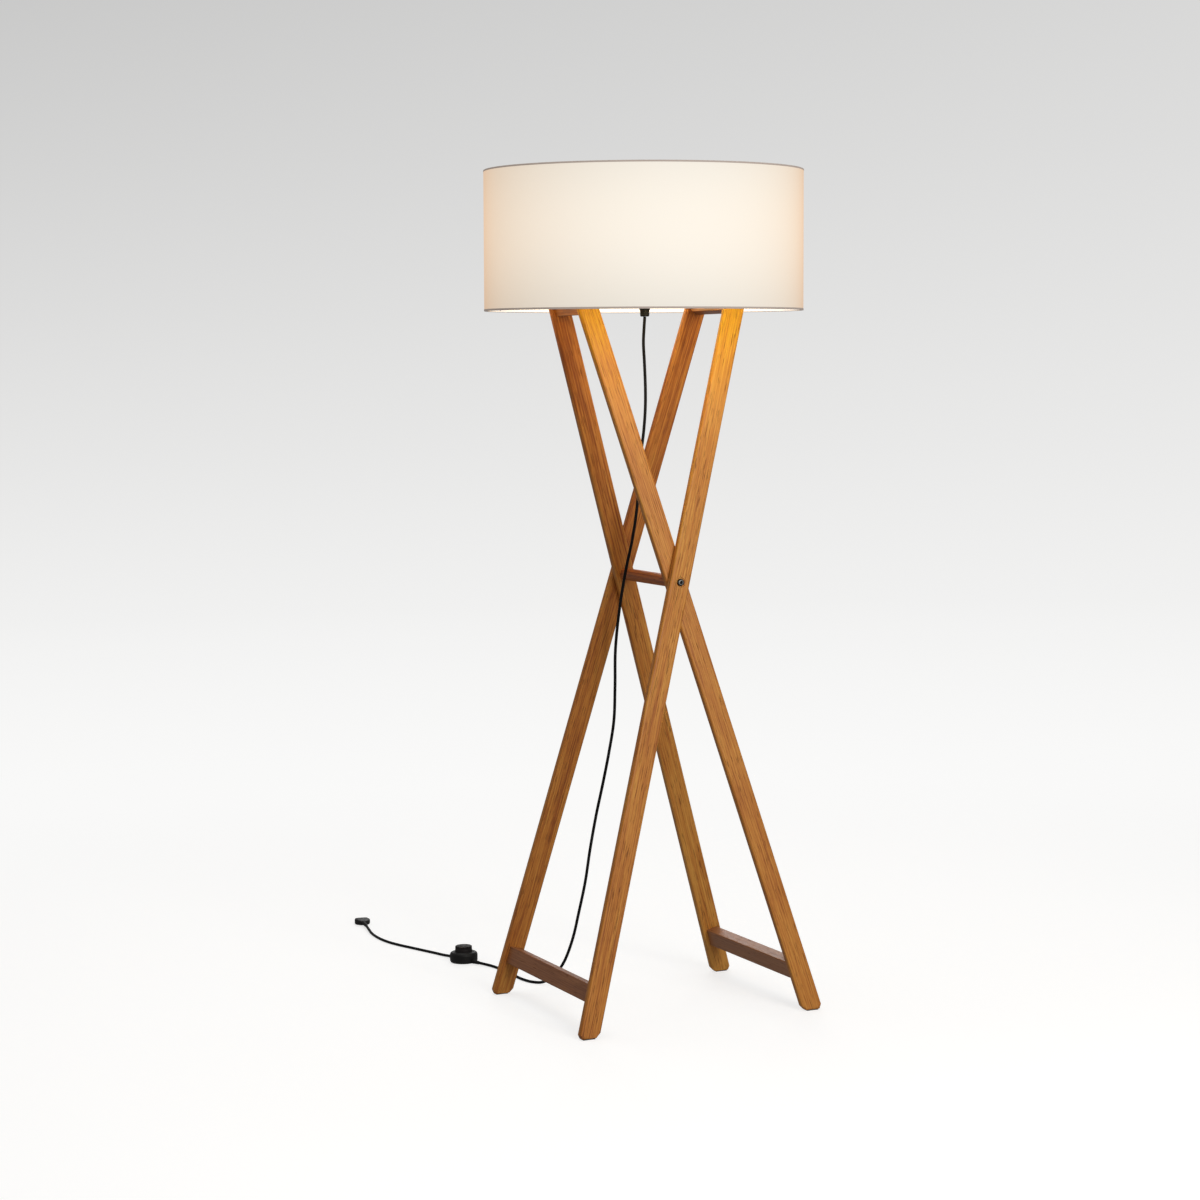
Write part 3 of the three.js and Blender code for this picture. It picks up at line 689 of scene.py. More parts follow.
button_plastic = moulded("button_plastic", (0.010, 0.0072, 0.0072), 0.56)
sheath = sheath_material()
opal = opal_material()
white_coat = coated("white_coat", (0.78, 0.76, 0.72), 0.45)
SIDE_DEPTH = (0.988, 0.915, 0.855)
drum_cloth = cloth("drum_cloth", (0.26, 0.34, 0.40), (0.985, 0.91, 0.785), 0.80, deepens=SIDE_DEPTH)
seam_cloth = cloth("seam_cloth", (0.26, 0.33, 0.38), (1.0, 0.89, 0.75), 0.68, deepens=SIDE_DEPTH)
tape_cloth = cloth(
    "tape_cloth", (0.36, 0.31, 0.28), (1.0, 0.80, 0.68), 0.18, relief=0.00022, brighter=rim_lit_inside,
)
liner_sheet = cloth(
    "liner_sheet", (0.62, 0.58, 0.50), (1.0, 0.78, 0.32), 2.1,
    thread=0.004, relief=0.00003, brighter=turned_in,
)


# ---- Lead ----
# One lead in two lengths, with the foot switch between them. The points are listed one by one.

LEAD_RADIUS = 0.003
ON_FLOOR = LEAD_RADIUS + 0.0003
SWITCH_INLET = Vector((0.328, -0.945, 0)).normalized()
SWITCH_OUTLET = Vector((-0.278, 0.961, 0)).normalized()
SWITCH_CENTRE = middle("switch_base").to_2d().to_3d()
SWITCH_REACH = 0.0501  # from the switch's middle to the end of its strain relief
SWITCH_LEAD_HEIGHT = 0.0052

UPPER_ROUTE = [
    (0, 0, 1.3547), (-0.0014, 0.0007, 1.335), (-0.0028, 0.002, 1.305), (-0.001, 0.0027, 1.265),
    (0.0006, 0.0036, 1.215), (0.0002, 0.005, 1.175), (-0.0026, 0.0085, 1.13),
    (-0.008, 0.015, 1.075), (-0.012, 0.024, 0.985), (-0.018, 0.036, 0.92), (-0.026, 0.05, 0.862),
    (-0.034, 0.066, 0.785), (-0.04, 0.077, 0.7), (-0.041, 0.08, 0.625), (-0.043, 0.084, 0.557),
    (-0.049, 0.096, 0.495), (-0.057, 0.111, 0.43), (-0.066, 0.128, 0.362), (-0.074, 0.144, 0.289),
    (-0.08, 0.156, 0.225), (-0.088, 0.171, 0.164), (-0.097, 0.189, 0.1), (-0.109, 0.212, 0.048),
    (-0.123, 0.238, 0.017), (-0.137, 0.256, 0.005), (-0.151, 0.275, ON_FLOOR), (-0.159, 0.305, ON_FLOOR),
    (-0.161, 0.345, ON_FLOOR), (-0.162, 0.39, ON_FLOOR), (-0.163, 0.424, ON_FLOOR), (-0.169, 0.457, 0.0038),
    SWITCH_CENTRE + SWITCH_INLET * SWITCH_REACH + UP * SWITCH_LEAD_HEIGHT,
]
LOWER_ROUTE = [
    SWITCH_CENTRE + SWITCH_OUTLET * SWITCH_REACH + UP * SWITCH_LEAD_HEIGHT,
    (-0.2185, 0.607, 0.0038), (-0.227, 0.638, ON_FLOOR), (-0.24, 0.676, ON_FLOOR), (-0.253, 0.714, ON_FLOOR),
    (-0.266, 0.752, ON_FLOOR), (-0.276, 0.79, ON_FLOOR), (-0.281, 0.83, ON_FLOOR), (-0.281, 0.868, ON_FLOOR),
    (-0.278, 0.905, 0.0037), (-0.272, 0.942, 0.0056), (-0.26605, 0.9747, 0.0068),
]


def smooth_route(points, step=0.004):
    """A centripetal Catmull-Rom curve through the points, about a step between its own points."""
    points = [Vector(p) for p in points]
    points = [2 * points[0] - points[1], *points, 2 * points[-1] - points[-2]]
    line = []
    for a, b, c, d in zip(points, points[1:], points[2:], points[3:]):
        before, here, after = [(q - p).length**0.5 for p, q in ((a, b), (b, c), (c, d))]
        leaving = ((b - a) / before - (c - a) / (before + here) + (c - b) / here) * here
        arriving = ((c - b) / here - (d - b) / (here + after) + (d - c) / after) * here
        parts = max(2, ceil((c - b).length / step))
        for k in range(parts):
            t = k / parts
            point = b * (2 * t**3 - 3 * t**2 + 1) + leaving * (t**3 - 2 * t**2 + t)
            line.append(point + c * (3 * t**2 - 2 * t**3) + arriving * (t**3 - t**2))
    line.append(points[-2])
    return line


upper_line = smooth_route(UPPER_ROUTE)
lower_line = smooth_route(LOWER_ROUTE)
upper_lead = swept("lead_upper", upper_line, LEAD_RADIUS, sheath, sides=18)
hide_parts("lead_to_switch")
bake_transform(upper_lead)
lower_lead = swept("lead_lower", lower_line, LEAD_RADIUS, sheath, sides=18)
stands_for(lower_lead, "lead_to_plug")


# ---- Wooden frames ----


def frame_axes(frame_name):
    """A frame's own directions: up the frame, and the normal of its plane. Also each leg's splay."""
    top, bottom = frame_name + "_top_rail", frame_name + "_bottom_rail"
    span = middle(top) - middle(bottom)
    wider = (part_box(bottom)[1].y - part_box(top)[1].y) / span.length
    up = span.normalized()
    return up, ALONG_PIVOT.cross(up), atan(wider)


def store(obj, name, values):
    """Keeps a number or a vector for each point of a mesh, for its material to read."""
    kind, field = ("FLOAT", "value") if isinstance(values[0], float) else ("FLOAT_VECTOR", "vector")
    for item, value in zip(obj.data.attributes.new(name, kind, "POINT").data, values):
        setattr(item, field, value)


def mark_grain(obj, axes, shift):
    """Stores each point's place in the board, in metres, and its share of the way out to the faces."""
    local = [axes @ v.co for v in obj.data.vertices]
    low = Vector([min(p[i] for p in local) for i in range(3)])
    high = Vector([max(p[i] for p in local) for i in range(3)])
    half = (high - low) / 2
    centred = [p - (low + high) / 2 for p in local]
    store(obj, "grain", [p + shift for p in centred])
    store(obj, "across", [Vector([p[i] / half[i] for i in range(3)]) for p in centred])


# Each board is cut from its own part of the tree.
BOARD_SHIFT = Vector((0.173, 0.091, 2.37))
board_numbers = count(1)

# How much paler (more) or darker (less) than the rest each board is: partly its own tone, and partly painted
# light and shade, paler on the front legs' tops near the bulb and darker on the back legs' shaded tops.
# The first number is for its foot, the second for its top.
BOARD_TONES_AND_LIGHT = {
    "outer_leg_front": (-0.05, 0.12),
    "inner_leg_front": (0.0, 0.05),
    "outer_leg_back": (-0.02, -0.06),
    "inner_leg_back": (0.16, -0.12),
    "outer_bottom_rail": (-0.01, -0.01),
    "inner_bottom_rail": (0.09, 0.09),
}


def board(node, material, wide, thick, along, bevel=0.0007):
    obj = refined(node, "wood", material, bevel)
    mark_grain(obj, Matrix((wide, thick, along)), BOARD_SHIFT * next(board_numbers))
    # The tone runs from foot to top, partly painted light and shade.
    foot, top = BOARD_TONES_AND_LIGHT.get(node, (0.0, 0.0))
    low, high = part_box(node)
    heights = [(v.co.z - low.z) / (high.z - low.z) for v in obj.data.vertices]
    store(obj, "tone_with_light_and_shade", [foot + (top - foot) * height for height in heights])
    # Only the front legs take the painted bulb light.
    store(obj, "front_leg_painted_light", [float(node.endswith("leg_front"))] * len(heights))
    stands_for(obj, node)


def foot_pad(node):
    """A pressed felt pad, a little uneven, drawn in towards its upper and lower faces."""
    low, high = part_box(node)
    size = high - low
    steps = (26, 14, 4)

    def place(*corner):
        x, y, z = [at / step - 0.5 for at, step in zip(corner, steps)]
        inset = 0.05 * max(0, abs(z) * 2 - 0.4)
        fuzz = 0.00012 * noise.noise(Vector(corner) * 0.9 + low * 50)
        x = x * (1 - inset) * size.x + fuzz
        y = y * (1 - 2 * inset) * size.y + fuzz
        z = min(max(z * size.z + fuzz, -size.z / 2), size.z / 2)
        return (low + high) / 2 + Vector((x, y, z))

    obj = closed_object(node + "_felt", *box_skin(steps, place), felt, crease=70)
    stands_for(obj, node)


for frame_name in ("outer", "inner"):
    up, normal, splay = frame_axes(frame_name)
    for side, sign in (("front", -1), ("back", 1)):
        along = up * cos(splay) - ALONG_PIVOT * (sign * sin(splay))
        board(frame_name + "_leg_" + side, leg_wood, normal, along.cross(normal), along)
    for level in ("top", "bottom"):
        board(frame_name + "_" + level + "_rail", rail_wood, up, normal, ALONG_PIVOT, 0.0005)
board("pivot_spreader_bar", bar_wood, Vector((1, 0, 0)), UP, ALONG_PIVOT, 0)
for frame_name, side in product(("outer", "inner"), ("front", "back")):
    foot_pad(frame_name + "_foot_pad_" + side)


# ---- Pivot hardware ----


def bolt_profile(head, shank, under, socket, length):
    """The bolt's radii and heights: down into the socket, over the head, and down the thread to the tip."""
    profile = [
        (0, 0.0030), (socket, 0.0030), (socket, 0.0004), (socket + 0.0005, 0), (socket + 0.0006, 0),
        (head - 0.0021, 0), (head - 0.0016, 0.0002), (head - 0.0006, 0.0007), (head, 0.0014),
        (head, under - 0.0003), (head - 0.0003, under), (shank, under),
    ]
    steps = 120
    for i in range(steps + 1):
        along = under + 0.010 + (length - under - 0.011) * i / steps
        profile.append((shank - 0.0003 + 0.0003 * cos(i * pi / 2), along))
    profile += [(shank - 0.0010, length), (0, length)]
    return [(radius, -along) for radius, along in profile]


def socket_bolt(side, sign):
    """A black socket-head bolt: a knurled head with a chamfered edge, a hex socket and a rolled thread."""
    node = "pivot_bolt_" + side
    low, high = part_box(node)
    head = half_width(node)
    under = 0.0050
    socket = 0.0025

    def shape(radius, height, angle):
        if radius <= socket + 0.0005 and height > -under:
            return radius / cos((angle % (pi / 3)) - pi / 6)
        if radius == head:
            return radius - 0.00025 * (0.5 - 0.5 * cos(40 * angle))
        return radius

    outer = high.y if sign > 0 else low.y
    place = facing(Vector((PIVOT.x, outer, PIVOT.z)), ALONG_PIVOT * sign)
    profile = bolt_profile(head, 0.0040, under, socket, high.y - low.y)
    verts, faces = lathed(profile, 120, closed=False, place=place, shape=shape)
    stands_for(closed_object(node + "_metal", verts, faces, black_oxide), node)


for side, sign in (("front", -1), ("back", 1)):
    socket_bolt(side, sign)
    eased("pivot_washer_" + side, "nylon", nylon, 0.0002)
    eased("threaded_insert_" + side, "brass", brass, 0.0003)


# ---- Head ----


def carrier_and_tube():
    eased("head_carrier", "steel", black_coat, 0.0006, segments=3)
    low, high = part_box("threaded_tube")
    tube = screw("threaded_tube_steel", 0.0035, high.x, 0.0006, 0.001, low.z, high.z, zinc)
    stands_for(tube, "threaded_tube")
    for node in ("tube_nut_lower", "tube_nut_upper"):
        eased(node, "steel", zinc, 0.0005)


def lead_gland():
    """A tapered gland with a ribbed collar to grip, and a rolled lip where the lead comes out."""
    low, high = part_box("lead_gland")
    radius = high.x
    z = low.z
    outline = [
        (LEAD_RADIUS + 0.0003, z + 0.004), (LEAD_RADIUS + 0.0003, z, 0.0006), (0.0079, z, 0.0016),
        (0.0088, z + 0.002, 0.001), (0.0091, z + 0.0075), (0.0087, z + 0.0079), (0.0087, z + 0.0086),
        (0.0091, z + 0.0090), (0.0092, z + 0.0118), (radius - 0.0004, z + 0.0134, 0.0006),
        (radius, z + 0.0150), (radius, high.z - 0.0015), (radius - 0.0008, high.z, 0.0006), (0.0054, high.z),
        (0.0054, z + 0.018),
    ]
    plastic_for("lead_gland", outline, 168, shape=ribbed(28, 0.0006, z + 0.0145, high.z - 0.001))


def lampholder():
    """A cup with a grip ring, and a threaded barrel on a ribbed flange."""
    low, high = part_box("lampholder_base")
    base = [
        (0.0054, low.z), (0.0150, low.z, 0.001), (0.0190, low.z, 0.002), (high.x, low.z + 0.004, 0.003),
        (high.x, high.z - 0.004), (high.x - 0.0006, high.z - 0.0035), (high.x - 0.0006, high.z - 0.0028),
        (high.x, high.z - 0.0023), (high.x, high.z), (0.018, high.z), (0.018, low.z + 0.003),
        (0.0054, low.z + 0.003),
    ]
    plastic_for("lampholder_base", base)
    bore = 0.0145
    low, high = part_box("lampholder_barrel")
    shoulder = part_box("shade_centre_ring")[0].z - 0.0003
    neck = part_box("shade_clamp_ring")[0].z
    flange = [
        (bore, low.z), (high.x, low.z, 0.0008), (high.x, shoulder, 0.0008), (0.0197, shoulder),
        (0.0197, neck), (bore, neck),
    ]
    grip = ribbed(36, 0.0006, low.z + 0.0009, shoulder - 0.0009)
    joins(turned("lampholder_flange_plastic", flange, black_plastic, 216, shape=grip))
    barrel = screw("lampholder_barrel_plastic", bore, 0.0199, 0.0009, 0.0026, neck, high.z, black_plastic, 64)
    stands_for(barrel, "lampholder_barrel")


def clamp_ring():
    bore = 0.0203
    low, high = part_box("shade_clamp_ring")
    outline = [
        (bore, low.z, 0.0004), (high.x, low.z, 0.001), (high.x, high.z - 0.002, 0.001),
        (high.x - 0.0025, high.z, 0.0012), (bore, high.z, 0.0006),
    ]
    plastic_for("shade_clamp_ring", outline, 240, shape=ribbed(30, 0.0011, low.z + 0.0011, high.z - 0.0015))


def bulb():
    """A screw cap with rolled threads and a contact, a white collar, and a round opal envelope."""
    low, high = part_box("bulb_cap")
    cap = screw("bulb_cap_steel", 0.006, high.x, 0.0013, 0.0036, low.z + 0.002, high.z, zinc, 48)
    stands_for(cap, "bulb_cap")
    contact = [
        (0, low.z), (0.0040, low.z, 0.001), (0.0085, low.z + 0.0021), (0.0085, low.z + 0.003),
        (0, low.z + 0.003),
    ]
    joins(turned("bulb_contact", contact, brass, closed=False))
    collar = [
        (0.0120, high.z - 0.0006), (0.0134, high.z - 0.0004, 0.0005), (0.0150, high.z + 0.0045, 0.001),
        (0.0148, high.z + 0.0060), (0.0110, high.z + 0.0060),
    ]
    joins(turned("bulb_collar", collar, nylon))
    profile = [(0, high.z + 0.0012), (0.0126, high.z + 0.0012), (0.0138, high.z + 0.0065)]
    start = radians(-52)
    steps = 22
    for i in range(steps):
        angle = start + (pi / 2 - start) * i / steps
        profile.append((BULB_RADIUS * cos(angle), BULB_CENTRE.z + BULB_RADIUS * sin(angle)))
    profile.append((0, BULB_HIGH.z))
    glass = closed_object("bulb_envelope_glass", *lathed(profile, closed=False), opal)
    stands_for(glass, "bulb_envelope")


carrier_and_tube()
lead_gland()
lampholder()
clamp_ring()
eased("lampholder_terminal", "ceramic", nylon, 0.0006)
bulb()


# ---- Shade ----

CLOTH_THICKNESS = 0.0007
LINER_THICKNESS = 0.0006
RIM_HEIGHT = 0.0034
HEM_HEIGHT = 0.0042
SEAM_HEADING = radians(66)
SEAM_WIDTH = 0.011


def sleeve(name, outer, inner, bottom, top, material):
    rows = 12
    heights = [bottom + (top - bottom) * i / rows for i in range(rows + 1)]
    profile = [(outer, h) for h in heights] + [(inner, h) for h in reversed(heights)]
    return closed_object(name, *lathed(profile, 160), material)


def seam_strip(outer, inner, bottom, top):
    """A strip of cloth up the drum, with a thin edge along both sides."""
    steps = (8, 10, 1)

    def place(i, j, k):
        across = i / steps[0] - 0.5
        proud = k * min(1, (0.5 - abs(across)) * 8 + 0.15)
        angle = SEAM_HEADING + across * SEAM_WIDTH / outer
        return on_circle(inner + (outer - inner) * proud, angle, bottom + (top - bottom) * j / steps[1])

    return closed_object("shade_seam", *box_skin(steps, place), seam_cloth)


def rolled_rim(name, bottom, top):
    """Cloth tape rolled round the rim's wire, with a little puckering where it is glued."""
    outer = DRUM_RADIUS + 0.0001
    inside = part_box("shade_ring_upper")[1].x - 0.0042
    outline = [
        (outer, bottom, 0.0005), (outer, top, 0.0014), (inside, top, 0.0012), (inside, bottom, 0.0008),
    ]

    def pucker(radius, height, angle):
        return radius * (1 + 0.00035 * noise.noise(on_circle(26, angle, height * 300)))

    verts, faces = lathed(filleted(outline, 5), 240, shape=pucker)
    return closed_object(name, verts, faces, tape_cloth, crease=60)


def shade():
    bottom, top = DRUM_LOW.z, DRUM_HIGH.z
    skin = DRUM_RADIUS - 0.0003
    inner = skin - CLOTH_THICKNESS
    outer = inner - 0.0001
    fabric = sleeve("shade_cloth", skin, inner, bottom + 0.0006, top - 0.0006, drum_cloth)
    stands_for(fabric, "shade_drum")
    liner = sleeve("shade_liner", outer, outer - LINER_THICKNESS, bottom + 0.0008, top - 0.0008, liner_sheet)
    seam = seam_strip(skin + 0.0004, skin - 0.0003, bottom + 0.003, top - 0.003)
    rim = rolled_rim("shade_rim_tape", top - RIM_HEIGHT, top)
    hem = rolled_rim("shade_hem_tape", bottom, bottom + HEM_HEIGHT)
    for piece in (liner, seam, rim, hem):
        joins(piece)
    return [fabric, liner, seam, rim, hem]


def rim_wire(level):
    """The wire ring in a rim, with its radius, height and thickness."""
    low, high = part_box("shade_ring_" + level)
    wire = (high.z - low.z) / 2
    radius = high.x - wire
    height = (high.z + low.z) / 2
    sides = 14
    corners = [on_circle(wire, 2 * pi * k / sides) for k in range(sides)]
    section = [(radius + corner.x, height + corner.y) for corner in corners]
    obj = closed_object("shade_wire_" + level, *lathed(section, 180), white_coat, crease=70)
    return stands_for(obj, "shade_ring_" + level), radius, height, wire


def spoke(node, name, ring_radius, height, wire):
    """A spoke from on top of the centre ring down to the lower rim's wire, flattened where it is welded."""
    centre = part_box("shade_centre_ring")[1]
    toward = middle(node).to_2d().normalized().to_3d()
    start = toward * (centre.x - 0.004) + UP * (centre.z + 0.0012)
    knee = toward * (centre.x + 0.009) + UP * (centre.z + 0.0006)
    foot = toward * (ring_radius - 0.016) + UP * (height + 0.0048)
    end = toward * (ring_radius - wire * 0.6) + UP * (height + wire * 0.9)
    between = [knee.lerp(foot, share) for share in (0.05, 0.5, 0.95)]
    path = smooth_route([start, start.lerp(knee, 0.5), knee, *between, foot, end], 0.006)

    def width(t):
        return 0.0019 + 0.0007 * exp(-(((t - 1) * 60) ** 2)) - 0.0005 * exp(-((t * 30) ** 2))

    return stands_for(swept(name, path, width, white_coat, 12), node)


def spider():
    """Wire rings in the rims, a flat centre ring, and four spokes."""
    upper, *_ = rim_wire("upper")
    lower, *ring = rim_wire("lower")
    low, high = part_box("shade_centre_ring")
    bore = 0.021
    outline = [
        (bore, low.z, 0.0004), (high.x, low.z, 0.0006), (high.x, high.z, 0.0006), (bore, high.z, 0.0004),
    ]
    plate = turned("shade_centre_plate", outline, white_coat, 96)
    stands_for(plate, "shade_centre_ring")
    spokes = [spoke("shade_spoke_%d" % n, "shade_spoke_wire_%d" % n, *ring) for n in range(1, 5)]
    return [upper, lower, plate, *spokes]


# The shade sits a touch out of square on its holder: higher on the camera's left. It leans about a
# level line through its middle, the way that the camera looks.
SHADE_LEAN = radians(0.8)
LEAN_LINE = Vector((sin(CAMERA_YAW), cos(CAMERA_YAW), 0))


def lean(pieces):
    centre = Matrix.Translation((0, 0, (DRUM_LOW.z + DRUM_HIGH.z) / 2))
    leaning = centre @ Matrix.Rotation(SHADE_LEAN, 4, LEAN_LINE) @ centre.inverted()
    for piece in pieces:
        piece.matrix_world = leaning @ piece.matrix_world


lean(shade() + spider())


# ---- Foot switch ----

AT_SWITCH = Matrix.Translation(SWITCH_CENTRE)


def switch_base():
    low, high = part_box("switch_base")
    edge = half_width("switch_base")
    outline = [
        (0, low.z), (edge - 0.004, low.z, 0.0005), (edge - 0.0036, low.z + 0.0006),
        (edge - 0.0012, low.z + 0.0006, 0.0006), (edge, low.z + 0.0018, 0.0006), (edge, high.z), (0, high.z),
    ]
    return plastic_for("switch_base", outline, 96, closed=False, place=AT_SWITCH)


def switch_cover():
    """A low dome with a raised lip round the button's mouth, hollow inside."""
    low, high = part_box("switch_cover")
    edge = half_width("switch_cover")
    top = high.z
    mouth = 0.0185
    wall = 0.0022
    lip = mouth + 0.0018
    outline = [
        (edge - wall, low.z), (edge - 0.0006, low.z, 0.0003), (edge - 0.0002, low.z + 0.0012, 0.0004),
        (edge, top - 0.0068, 0.0040), (edge - 0.0012, top - 0.0030, 0.0030),
        (edge - 0.0042, top - 0.0009, 0.0016), (lip + 0.0012, top - 0.0010, 0.0004),
        (lip + 0.0002, top, 0.0005), (mouth, top, 0.0006), (mouth, top - wall),
        (edge - wall - 0.0020, top - 0.0075, 0.002),
    ]
    return plastic_for("switch_cover", outline, 120, place=AT_SWITCH, steps=6)


def switch_button():
    """A cup with two shallow rings on its top, notches round its edge and a groove below them."""
    low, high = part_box("switch_button")
    edge = half_width("switch_button")
    top = high.z
    groove = low.z + 0.0155
    inner = edge - 0.003
    rings = [
        (0.0110, 0.0001, 0.002), (0.0104, 0.0009, 0.0003), (0.0096, 0.0009, 0.0003),
        (0.0090, 0.0003, 0.0003), (0.0062, 0.0005, 0.0006), (0.0057, 0.0013, 0.0003),
        (0.0049, 0.0013, 0.0003), (0.0044, 0.0007, 0.0003), (0.0015, 0.0012, 0.0010),
        (0.0001, 0.0024, 0.0012),
    ]
    outline = [(0, top), *[(edge - inward, top - down, radius) for inward, down, radius in rings]]
    outline += [
        (edge - 0.0001, groove + 0.0015, 0.0003), (edge - 0.0010, groove + 0.0011, 0.0002),
        (edge - 0.0010, groove + 0.0004, 0.0002), (edge, groove, 0.0004), (edge, low.z, 0.0004),
        (inner, low.z), (inner, top - 0.003), (0, top - 0.003),
    ]
    notches = ribbed(24, 0.0016, groove + 0.0014, top - 0.0015)
    obj = turned("switch_button_plastic", outline, button_plastic, 300, False, AT_SWITCH, shape=notches)
    return stands_for(obj, "switch_button")


def switch_spring():
    low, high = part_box("switch_spring")
    wire = 0.0005
    coil = half_width("switch_spring") - wire
    turns = 7.5
    steps = 180
    path = []
    for i in range(steps + 1):
        height = low.z + wire + (high.z - low.z - 2 * wire) * i / steps
        path.append(SWITCH_CENTRE + on_circle(coil, 2 * pi * turns * i / steps, height))
    obj = stands_for(swept("switch_spring_coil", path, wire, zinc, 8), "switch_spring")
    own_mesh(obj)
    return obj


def relief(node, start, heading, length, grooves):
    """A tapered strain relief with grooves across it, thick end first."""
    thick = 0.0044
    thin = LEAD_RADIUS + 0.0006
    step = (length - 0.0075) / grooves
    outline = [(0, 0), (thick, 0, 0.0003), (thick, 0.003, 0.0004)]
    for i in range(grooves):
        for share, cut in ((0.0, 0), (0.12, 0.0009), (0.42, 0.0009), (0.54, 0)):
            along = 0.0045 + step * (i + share)
            outline.append((thick + (thin - thick) * along / length - cut, along))
    outline += [(thin, length - 0.001, 0.0004), (LEAD_RADIUS + 0.0001, length), (0, length)]
    obj = turned(node + "_rubber", outline, black_plastic, 32, closed=False, place=facing(start, heading))
    return stands_for(obj, node)


def foot_switch():
    pieces = [switch_base(), switch_cover(), switch_button(), switch_spring()]
    pieces.append(eased("switch_contact_block", "nylon", nylon, 0.0006))
    reach = half_width("switch_cover") + 0.0001
    for end, heading in (("inlet", SWITCH_INLET), ("outlet", SWITCH_OUTLET)):
        start = SWITCH_CENTRE + heading * reach + UP * SWITCH_LEAD_HEIGHT
        pieces.append(relief("switch_relief_" + end, start, heading, 0.0202, 4))
    return pieces


# ---- Plug ----


def plug_rings(seat, heading, sideways, length, width, thickness):
    """Flattened oval rings along the plug's body: waisted, ribbed for grip, and eased at both ends."""
    stations = 26
    around = 40
    flatness = 0.42
    rings = []
    for i in range(stations + 1):
        t = i / stations
        swell = sin(min(1, t * 1.55) * pi / 2) ** 0.8
        half = 0.0055 + (width / 2 - 0.0055) * swell - 0.0022 * max(0, t - 0.66) / 0.34
        grip = 0.0007 * max(0, sin((t - 0.30) * 2 * pi * 9)) if 0.30 < t < 0.75 else 0
        high = thickness / 2 * (0.72 + 0.28 * min(1, t * 2.2)) - 0.0002
        ease = 0.0010 * (max(0, 1 - t * stations) + max(0, 1 - (1 - t) * stations))
        ring = []
        for k in range(around):
            c, s, _ = on_circle(1, 2 * pi * k / around)
            x = copysign(abs(c) ** flatness, c) * (half - ease - grip * (abs(c) > 0.5))
            z = copysign(abs(s) ** flatness, s) * (high - ease)
            ring.append(seat + heading * (length * t) + sideways * x + UP * z)
        rings.append(ring)
    return rings


def plug_pin(side, face, heading, sideways):
    """A brass pin with an insulating sleeve over its root."""
    node = "plug_pin_" + side
    centre = middle(node)
    root = face + sideways * (centre - face).dot(sideways)
    root.z = centre.z
    place = facing(root, heading)
    pin = [(0, -0.0002), (0.0020, -0.0002), (0.0020, 0.0172, 0.0006), (0.0012, 0.0190, 0.0006), (0, 0.0190)]
    metal = turned(node + "_brass", pin, brass, 28, closed=False, place=place)
    sleeve_outline = [(0.0017, -0.0001), (0.00206, -0.0001), (0.00206, 0.0095, 0.0002), (0.0017, 0.0098)]
    cover = turned(node + "_sleeve", sleeve_outline, black_plastic, 28, place=place)
    return [stands_for(metal, node), joins(cover, "outer_frame")]


def plug():
    """A flat moulded two-pin plug on its strain relief."""
    length = 0.036
    width = 0.035
    relief_length = 0.030
    pins = (middle("plug_pin_left") + middle("plug_pin_right")) / 2
    heading = (pins - middle("plug_relief")).to_2d().normalized().to_3d()
    sideways = heading.cross(UP)
    seat = Vector(LOWER_ROUTE[-1]) + heading * (relief_length + 0.0003)
    rings = plug_rings(seat, heading, sideways, length, width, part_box("plug_body")[1].z)
    body = closed_object("plug_body_plastic", *lofted(rings), black_plastic, crease=40)
    stands_for(body, "plug_body")
    strain = relief("plug_relief", seat, -heading, relief_length + 0.0002, 6)
    face = seat + heading * length
    pins = [piece for side in ("left", "right") for piece in plug_pin(side, face, heading, sideways)]
    return [body, strain, *pins]


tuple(UPPER_ROUTE[0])
foot_switch()
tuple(LOWER_ROUTE[0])
plug()


# ---- Studio ----

FLOOR_EDGE = 7.0
SWEEP_RADIUS = 3.0
WALL_TOP = 7.0
FLOOR_ALBEDO = 0.42
NEAR_GLOW = 0.69
MIDDLE_GLOW = 0.955
FAR_GLOW = 0.905
WALL_GLOW = (
    (0.0, 1.0), (0.035, 0.972), (0.11, 0.945), (0.25, 0.895), (0.48, 0.827), (0.73, 0.762), (1.0, 0.700),
)
WALL_GLOW_HEIGHT = 3.2
BRIGHTER_SIDE = (cos(CAMERA_YAW), -sin(CAMERA_YAW), 0)


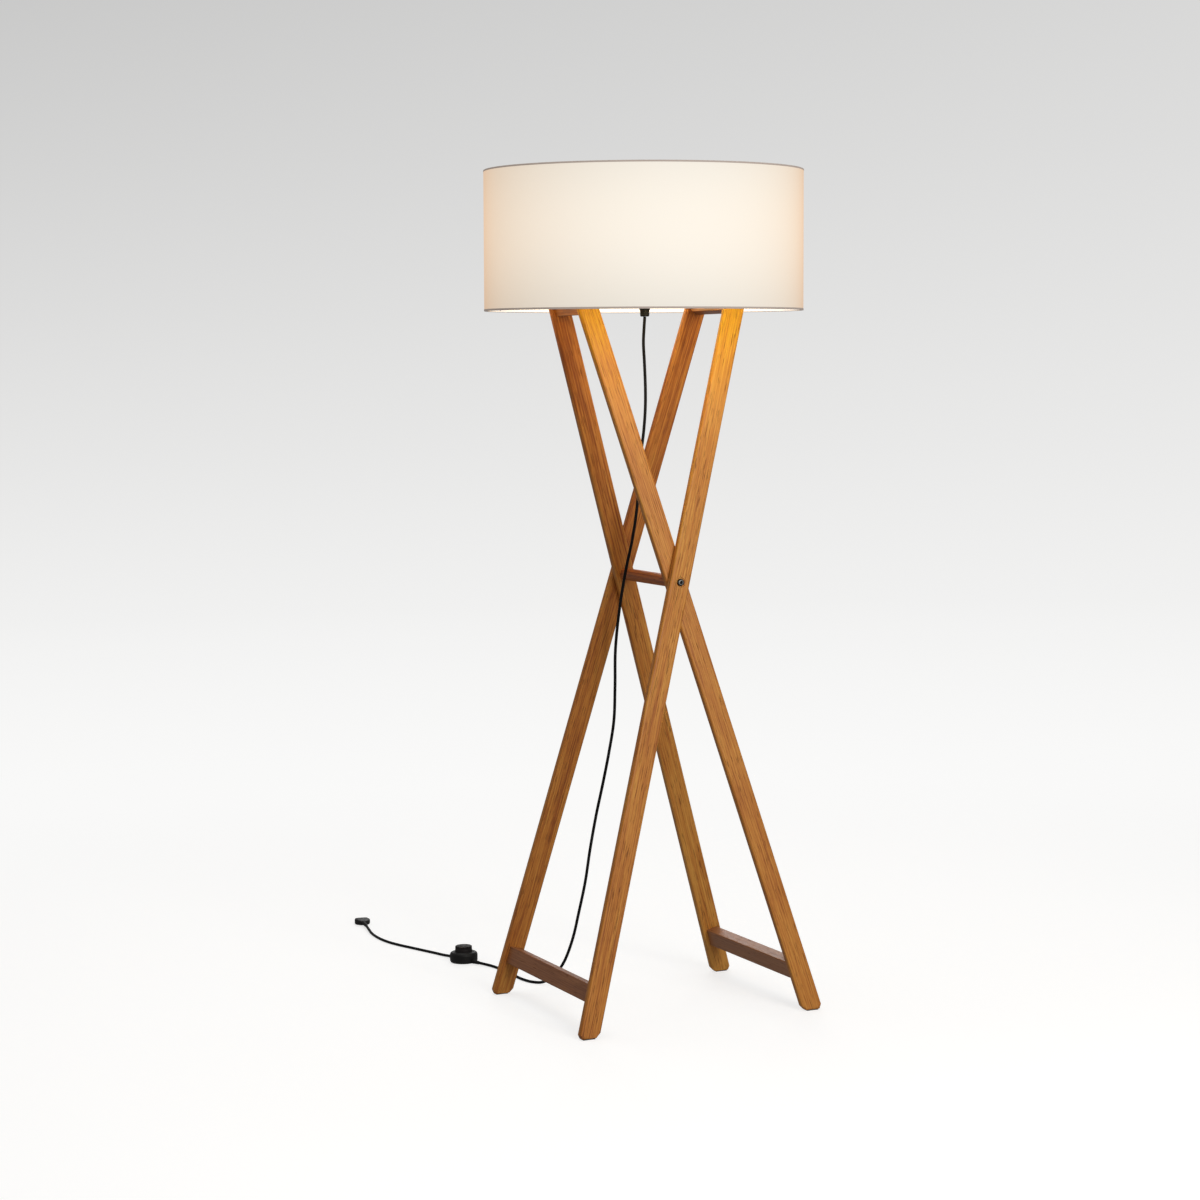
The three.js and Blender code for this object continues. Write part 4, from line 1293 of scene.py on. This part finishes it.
def studio_material():
    """White that takes soft shadows near the lamp and glows evenly beyond, darker up the wall."""
    s = Shader("studio", Roughness=1.0, Specular_IOR_Level=0.0, Emission_Color=(1.0, 0.998, 0.992))
    place = s.place()
    height = s.split(place)[2]
    out = s.vector("LENGTH", s.vector("MULTIPLY", place, (1, 1, 0)))
    lit_floor = s.between(out, 1.4, 3.8, 1.0, 0.0)
    floor_glow = s.between(out, 3.0, 7.0, MIDDLE_GLOW, FAR_GLOW, smooth=False)
    floor_glow = s.total(floor_glow, (lit_floor, NEAR_GLOW - MIDDLE_GLOW))
    climb = s.ramp(s.math("DIVIDE", height, WALL_GLOW_HEIGHT), *[(at, [glow] * 3) for at, glow in WALL_GLOW])
    side = s.split(s.vector("MULTIPLY", place, BRIGHTER_SIDE))
    slope = s.times(s.plus(side[0], side[1]), s.times(height, 0.0075))
    s.set(Emission_Strength=s.times(floor_glow, climb, s.plus(slope, 1)))
    s.set(Base_Color=s.mix(lit_floor, (0.0, 0.0, 0.0), [FLOOR_ALBEDO] * 3))
    return s.material


def studio():
    """A round seamless floor that curves up into a wall, so that every view has the same pale ground."""
    profile = [(0, 0), (1.5, 0), (3, 0), (5, 0)]
    steps = 16
    for i in range(steps + 1):
        angle = pi / 2 * i / steps
        profile.append((FLOOR_EDGE + SWEEP_RADIUS * sin(angle), SWEEP_RADIUS * (1 - cos(angle))))
    profile.append((FLOOR_EDGE + SWEEP_RADIUS, WALL_TOP))
    obj = closed_object("studio", *lathed(profile, 96, closed=False), studio_material(), crease=80)
    obj.visible_diffuse = False
    obj.visible_glossy = False


def softbox(name, place, target, size, power, colour=(1, 1, 1)):
    data = bpy.data.lights.new(name, "AREA")
    data.shape = "RECTANGLE"
    data.size, data.size_y = size
    data.energy = power
    data.color = colour
    light = in_scene(name, data)
    aim = Vector(target) - Vector(place)
    light.matrix_world = Matrix.Translation(place) @ aim.to_track_quat("-Z", "Y").to_matrix().to_4x4()
    light.visible_camera = False


def daylight():
    world = bpy.data.worlds.new("soft_room")
    bpy.context.scene.world = world
    world.use_nodes = True
    background = world.node_tree.nodes["Background"]
    background.inputs["Color"].default_value = (1.0, 0.985, 0.97, 1)
    background.inputs["Strength"].default_value = 0.25
    softbox("key", (0.2, -3.9, 1.9), (0, 0, 0.9), (1.8, 1.8), 93, (1.0, 0.985, 0.965))
    softbox("shade_glow", (0, -0.212, 1.385), (0, -0.212, 0), (0.26, 0.12), 0.17, (1.0, 0.62, 0.02))
    softbox("top", (-0.4, 0.6, 4.2), (0, 0, 0.6), (2.5, 2.5), 40)
    softbox("back", (2.2, 5.0, 3.2), (0, 0, 0.8), (2.6, 2.6), 60)


studio()
daylight()
bpy.context.scene.view_settings.view_transform = "Standard"
